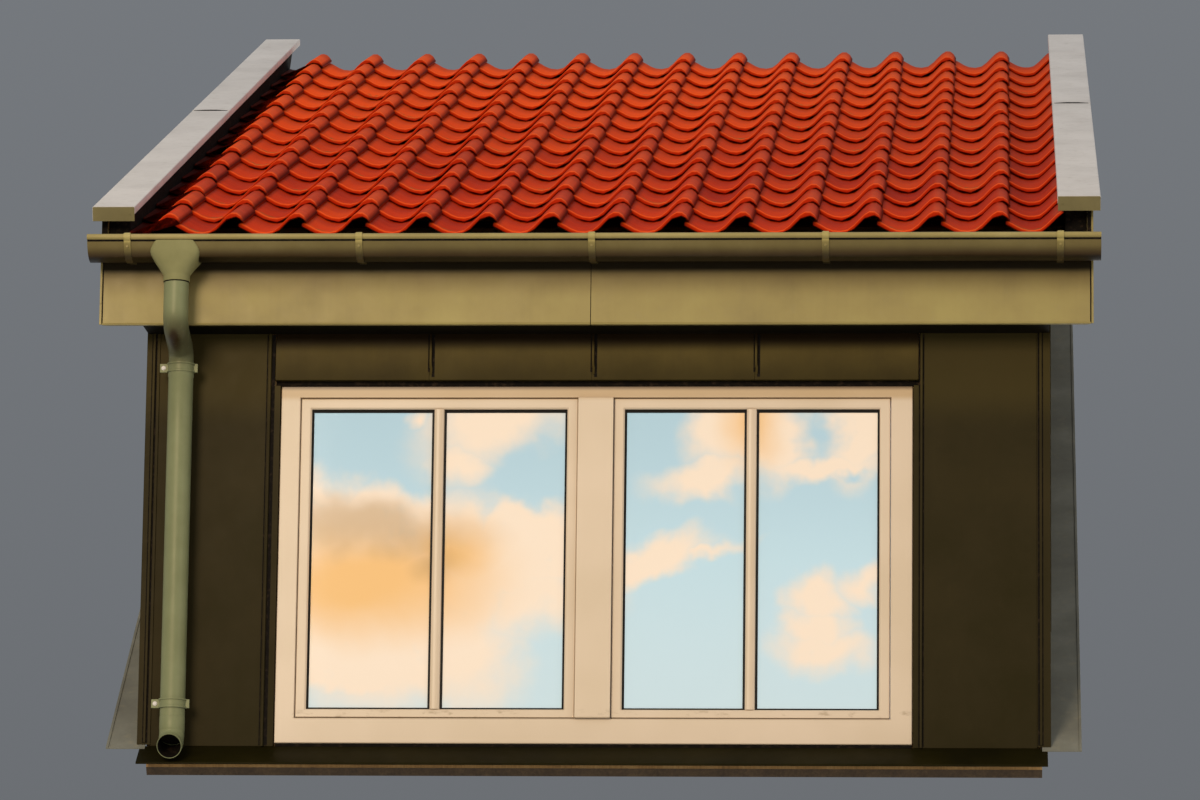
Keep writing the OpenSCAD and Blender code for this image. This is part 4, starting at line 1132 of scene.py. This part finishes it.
socket_z = np.append(BEND_LOW - np.array([0, 1, 2, 44, 47]), [1100, 700, 300, SHOE_TOP])
socket_r = np.array([39.5, 40.8, 41.6, 41.6] + [PIPE_R] * 5)
piece("downpipe_tube", [tube(drop_line(PIPE_Y, socket_z), socket_r)], pipe_coat, "pipe_olive",
      ["downpipe"], sharp=60)

out = arc(PIPE_Y - BEND, SHOE_TOP, 0, -SWING)
ahead = np.array([0, -sin(SWING), -cos(SWING)])
shoe = np.concatenate([out, out[-1] + ahead * np.array([[8.0], [19.0], [20.3]])])
outer, inner = (np.append(np.full(len(shoe) - 1, r), mouth) for r, mouth in ((PIPE_R, 39.5), (37.6, 38.1)))
collar = tube(drop_line(PIPE_Y, [150, 149, 112, 108, 106]), [40.1, 40.7, 40.7, 40.4, 39.9])
piece("shoe_pipe", [sleeve(shoe, outer, inner), collar], pipe_coat, "pipe_olive", ["pipe_shoe"], sharp=60)
# A black lining inside the shoe's mouth: painted shade.
piece("shoe_shade_lining", [sleeve(shoe[5:-1], 37.5, 36.6), tube(shoe[4:6], 37.4)], felt, "pipe_olive", sharp=60)

# %% [markdown]
# Two clips hold the downpipe. Each is a pair of half rings that are hinged at the right and screwed at the
# left, on a short post from the wall.

# %% Pipe clips
def clip(z):
    """Bands at the top and bottom edge of a ring, a long and a short lug, the post and its plate."""
    band_z = z + np.array([-16, -16, -10, -9, 9, 10, 16, 16])
    band_r = np.array([41, 45.2, 45.2, 42.2, 42.2, 45.2, 45.2, 41])
    shells = [tube(drop_line(PIPE_Y, band_z), band_r)]
    for x0, x1 in ((-68, -40), (40, 54)):
        for y0, y1 in ((-5, -0.6), (0.6, 5)):
            shells.append(block(PIPE_X + x0, PIPE_X + x1, PIPE_Y + y0, PIPE_Y + y1, z - 14, z + 14))
    shells.append(along_y(round_head(PIPE_X, z, 6, 16), PIPE_Y + 44, FACE_Y - 3))
    shells.append(block(PIPE_X - 26, PIPE_X + 26, FACE_Y - 4, FACE_Y, z - 20, z + 20))
    return shells


CLIPS_Z = (1283, 192)
piece("downpipe_clips", clip(CLIPS_Z[0]) + clip(CLIPS_Z[1]), pipe_coat, "pipe_olive", ["pipe_clips"],
      bevel=0.8)
screws = [along_y(round_head(PIPE_X - 56, z, radius, 16), PIPE_Y - depth, PIPE_Y - 4.5)
          for z in CLIPS_Z for radius, depth in ((7.5, 6.4), (5.2, 9.5))]
piece("clip_screws", screws, cap_coat, "cap_sheet", bevel=1.2)

# %% [markdown]
# ## Dark cladding
# The walls are covered with dark coated sheet. Neighbouring panels are joined by a standing seam: one edge is
# folded over the other, which leaves a narrow upright ridge. Over the window the ridges stop short above the
# panel's hem and are pinched flat there.

# %% Wall and header panels
WINDOW_HALF, WINDOW_LOW, WINDOW_HIGH = 1017.5, 78.0, 1238.0
PANEL_IN, TRIM_IN, HEM = 1020.5, 1414.0, 66.0


def seam(x, z0, z1, pinched):
    """A ridge 8 mm wide and 9 mm proud; where it is pinched its foot leans over and flattens in 22 mm."""
    z = np.array([z1, z0 + 24, z0 + 8, z0, z0 - 14, z0 - 22] if pinched else [z1, z0])
    proud = np.array([9, 9, 9.5, 7, 4, 2.0] if pinched else [9, 9.0])
    lean = np.array([0, 0, 0.5, 2.5, 2, 0.5] if pinched else [0, 0.0])
    shape = np.array([(-4, 1), (-4, -0.55), (-3, -0.9), (-1, -1), (2.5, -1), (4, -0.9), (4, -0.62),
                      (1.5, -0.5), (1.5, 1)])
    outline = np.repeat(shape[None], len(z), 0)
    outline[..., 1] = np.where(outline[..., 1] < 0, outline[..., 1] * proud[:, None], outline[..., 1])
    outline[..., 0] += lean[:, None]
    return carry(outline, [(x, FACE_Y, h) for h in z], (1, 0, 0), (0, 1, 0))


def panel(x0, x1, z0, z1):
    """A sheet face with its lower edge folded back, over the boarding behind it."""
    hem = [(FACE_Y + 3, z0), (FACE_Y + 0.5, z0 + 0.8), (FACE_Y, z0 + 4)]
    return along_x(hem + [(FACE_Y, z1), (FRAME_Y, z1), (FRAME_Y, z0)], x0, x1)


def wall(seam_x):
    """A narrow strip beside the window, the wide panel, and the ridge between them."""
    return [panel(PANEL_IN, seam_x, HEM, WINDOW_HIGH + 2), panel(seam_x, TRIM_IN - 0.3, HEM, PANEL_TOP),
            seam(seam_x, HEM, FASCIA_Z - 0.3, False)]


def wall_shadow_strips(*spans):
    """Painted shadows by the seams: strips that lie 0.5 mm proud of the wall sheets and end 3 mm short of
    their edges.
    """
    return [block(a, b, FACE_Y - 0.5, FACE_Y + 1, HEM + 3, FASCIA_Z - 3) for a, b in spans]


piece("left_wall_sheet", [mirrored(w) for w in wall(1055)], brown_coat, "dark_sheet",
      ["left_wall_panel"], bevel=0.8)
piece("right_wall_sheet", wall(1045), brown_coat, "dark_sheet", ["right_wall_panel"], bevel=0.8)
# Painted shadow lines on both sides of each wall seam's ridge.
shadow_strips_left = [mirrored(shell) for shell in wall_shadow_strips((1039.5, 1050.5), (1063, 1066.5))]
piece("wall_seam_shadows", shadow_strips_left + wall_shadow_strips((1037, 1040.5), (1050, 1054)), felt, "dark_sheet")

cuts = [-1038, -540, -15, 510, 1036]
header = [panel(a, b - 0.8, 1258, PANEL_TOP) for a, b in zip(cuts[:-1], cuts[1:])]
header += [seam(x + 4, 1298, FASCIA_Z - 0.3, True) for x in cuts[1:-1]]
piece("header_sheets", header, header_coat, "dark_sheet", ["header_panels"], bevel=0.8)
# Painted shadows: dark strips beside and below each pinched ridge, and one in the gap above the window head.
marks = [(-4, -0.4, 1298, 1407), (-4.5, 7, 1284, 1298), (8, 17, 1268, 1407)]
laps = [block(x + a, x + b, FACE_Y - 0.5, FACE_Y + 1, low, high)
        for x in cuts[1:-1] for a, b, low, high in marks]
piece("header_seam_shadows", laps + [block(-1036, 1036, -47, -45.2, WINDOW_HIGH + 0.3, 1259)], felt, "dark_sheet")

# %% [markdown]
# The corner trims are folded angles that stand 3 mm proud of the panels. They, the cheek sheets and the
# soakers along their foot end on the seat slope, so their outlines come from the two roof planes.

# %% Corner trims and cheek cladding
FLASH_TOP, TRIM_Y = TILE_PLANE + 3.3, -73


def between_slopes(xy, foot_up, head_down, at_y=None):
    """A prism from foot_up over the flashing's plane to head_down under the soffit's, at its y or at_y."""
    points, groups = along_z(xy, 0, 1)
    y = points[:, 1] if at_y is None else at_y
    points[:, 2] = np.where(points[:, 2] < 0.5, seat_z(y, FLASH_TOP) + foot_up,
                            roof_z(y, SOFFIT_LOW) - head_down)
    return points, groups


def trim_rib(x0, x1, y0, y1):
    """A bar on the trim's face that keeps off its foot and head."""
    return between_slopes([(x0, y0), (x1, y0), (x1, y1), (x0, y1)], 6, 2, TRIM_Y)


angle_xy = [(TRIM_IN, TRIM_Y), (HALF_BODY + 3, TRIM_Y), (HALF_BODY + 3, -30), (HALF_FRAME, -30),
            (HALF_FRAME, FRAME_Y), (TRIM_IN, FRAME_Y)]
trim = between_slopes(angle_xy, 0, 0.3)
for (side, turn), at in zip(SIDES, (1433, 1426)):
    piece(side + "corner_fold", [turn(trim), turn(trim_rib(at - 4, at + 4, -78, -72))],
          brown_coat, "dark_sheet", [side + "corner_trim"], bevel=1.2)
    # Painted shadow lines on both sides of the trim's rib.
    laps = [turn(trim_rib(at + a, at + b, -73.5, -72)) for a, b in ((-9.5, -4), (4, 7.5))]
    piece(side + "corner_shadow_lines", laps, felt, "dark_sheet")

CHEEK_Y, SEAM_GAP = FRAME_Y + 15.3, 525
cheek_face = [(CHEEK_Y, seat_z(CHEEK_Y, FLASH_TOP)), meet(RAFTER_TOP, FLASH_TOP),
              (CHEEK_Y, roof_z(CHEEK_Y, RAFTER_TOP))]
cheek = [along_x(cheek_face, HALF_FRAME, HALF_BODY)]
for y in CHEEK_Y + SEAM_GAP * np.arange(1, 6):
    foot, head = seat_z(y + 8, FLASH_TOP), roof_z(y, SOFFIT_LOW) - 0.3
    ridge = [(y, seat_z(y, FLASH_TOP)), (y + 8, foot), (y + 8, head), (y, head)]
    cheek.append(along_x(ridge, HALF_BODY - 1, HALF_BODY + 9))
both("cheek_sheet", cheek, brown_coat, "dark_sheet", "cheek_cladding", bevel=1)

# %% [markdown]
# Bent sheets lead the water off where the dormer stands on its seat: one apron under the window, and a soaker
# along the foot of each cheek. Each is one outline with a stiffening lip, carried along its edge.

# %% Flashings
def on_seat(x, s, h):
    """Points s up the seat slope and h square to it, from the origin on the roof seat."""
    x, s, h = np.broadcast_arrays(x, s, h)
    return np.stack([x, s * cos(SEAT) - h * sin(SEAT), s * sin(SEAT) + h * cos(SEAT)], -1)


sill_outline = [(-45, 65.7), (-70, 65.7), (-161, 2.4), (-161, -4), (-158, -4), (-157, 1.5), (-69, 61.7),
                (-48, 61.7), (-48, 12), (-45, 12)]
sill = along_x(sill_outline, -HALF_BODY + 7, HALF_BODY - 7)
piece("sill_sheet", [sill], sill_coat, "dark_sheet", ["sill_flashing"], bevel=0.8)
piece("window_packer", [block(-1016, 1016, -58, -46, 66, 77.7)], felt, "felt_black", bevel=0.5)

s0, s1 = ((y + TILE_PLANE * sin(SEAT)) / cos(SEAT) for y in (-88, meet(SOFFIT_LOW, TILE_PLANE)[0]))
soaker_outline = [(HALF_FRAME, 97), (HALF_BODY + 100, 97), (HALF_BODY + 100, 103), (HALF_BODY + 92, 103),
                  (HALF_BODY + 91, 100), (HALF_FRAME, 100)]
soaker = carry(soaker_outline, on_seat(0, np.array([s0, s1]), 0), (1, 0, 0), (0, -sin(SEAT), cos(SEAT)))
both("soaker", [soaker], soaker_coat, "grey_sheet", "side_flashing", bevel=0.8)

# %% [markdown]
# ## Window
# Frame and sashes are plastic profiles welded at mitred corners, so each is one section carried round a
# rectangle with its points shared out between the outer and the inner edge. A dark gap shows where the sash
# closes, and a black gasket lies between the sash and the glass.

# %% Window frame, post and cover
def ring(outer, inner, section):
    """A mitred frame. outer and inner are (x0, x1, z0, z1); section holds (share from outer to inner, y)."""
    def corners(r):
        """The four corners (x, z) of a rectangle."""
        return np.array([(r[0], r[2]), (r[1], r[2]), (r[1], r[3]), (r[0], r[3])], float)
    section = np.asarray(section, float)
    a, b = corners(outer)[:, None], corners(inner)[:, None]
    xz = a + section[None, :, :1] * (b - a)
    points = np.stack([xz[..., 0], np.broadcast_to(section[:, 1], xz.shape[:2]), xz[..., 1]], -1)
    return outward(points.reshape(-1, 3), faces(4, len(section), True))


LIGHTS_IN = (-955.0, 948.0, 160.0, 1201.5)
POST = 56.0
LIGHTS = {"left": (LIGHTS_IN[0], -POST) + LIGHTS_IN[2:], "right": (POST,) + LIGHTS_IN[1:]}


def inset(rectangle, sides, top, foot):
    """The rectangle (x0, x1, z0, z1) made smaller on each side."""
    x0, x1, z0, z1 = rectangle
    return (x0 + sides, x1 - sides, z0 + foot, z1 - top)


frame_face = [(0, 6), (0, -61.5), (0.03, -64), (0.97, -64), (1, -61), (1, 0.2), (0.83, 0.2), (0.83, 6)]
outer_ring = ring((-WINDOW_HALF, WINDOW_HALF, WINDOW_LOW, WINDOW_HIGH), LIGHTS_IN, frame_face)
post_xy = [(-POST, -64), (POST, -64), (POST, 0.2), (44, 0.2), (44, 6), (-44, 6), (-44, 0.2), (-POST, 0.2)]
post = along_z(post_xy, 158, 1203)
piece("window_frame_profile", [outer_ring, post], plastic, "white_plastic", ["window_frame"], bevel=1)
cover = along_z([(-57, -64), (-57, -76), (57, -76), (57, -64)], 160, 1201)
piece("mullion_cover_profile", [cover], plastic, "white_plastic", ["mullion_cover"], bevel=2.5)

# %% [markdown]
# A sash is the same kind of ring, a little smaller than its light, so that a dark line shows all round. Its
# glazing bar is a hump laid on the outer pane over a black gasket, which is how such bars are fixed to
# insulating glass.

# %% Sashes, gaskets and bars
sash_face = [(0, 0), (0, -55.5), (0.06, -58), (0.86, -58), (1, -54), (1, -44.2), (0.4, -44.2), (0.4, -19.8),
             (1, -19.8), (1, -3), (0.94, 0)]
OUTER_PANE, INNER_PANE = (-44, -40), (-24, -20)
gasket_face = [(0, -44), (0, -47), (0.35, -48.5), (1, -45.5), (1, -44)]
spacer_face = [(0, OUTER_PANE[1]), (0, INNER_PANE[0]), (1, INNER_PANE[0]), (1, OUTER_PANE[1])]
hump = np.array([(20.2, -46), (20.2, -52), (18.5, -56), (14, -58.5), (7, -60)])
hump = np.concatenate([hump * (-1, 1), hump[::-1]]) * (0.8, 1)
for name, bar_x in (("left", -506.0), ("right", 501.0)):
    sash, pane = inset(LIGHTS[name], 2.5, 2.5, 2.5), inset(LIGHTS[name], 36.5, 36.5, 29.5)
    low, high = pane[2:]
    piece(name + "_sash_profile", [ring(sash, pane, sash_face)], plastic, "white_plastic",
          [name + "_sash"], bevel=0.8)
    bar_gasket = block(bar_x - 23.5, bar_x + 23.5, -46, -44, low + 2, high - 2)
    piece(name + "_gaskets", [ring(pane, inset(pane, 7, 10, 6), gasket_face), bar_gasket],
          rubber, "white_plastic")
    bar = along_z(hump + (bar_x, 0), low + 0.5, high - 0.5)
    piece(name + "_glazing_bar", [bar], plastic, "white_plastic", bevel=0.4)
    sheet = inset(pane, -12, -12, -12)
    x0, x1, z0, z1 = sheet
    piece(name + "_outer_pane", [block(x0, x1, *OUTER_PANE, z0, z1)], sky_glass, "pane",
          [name + "_glass"], bevel=0.5)
    piece(name + "_inner_pane", [block(x0, x1, *INNER_PANE, z0, z1)], room_glass, "pane", bevel=0.5)
    piece(name + "_pane_spacer", [ring(sheet, inset(sheet, 16, 16, 16), spacer_face)], rubber, "pane")

# %% [markdown]
# ## Floor finish
# The floor is a plain pale sweep.

# %% Floor finish
pale_floor = start("pale studio floor", 0.8)
paint(blend(grain(900), "#C9CBCC", "#D2D4D4"))
floor.data.materials.append(pale_floor)
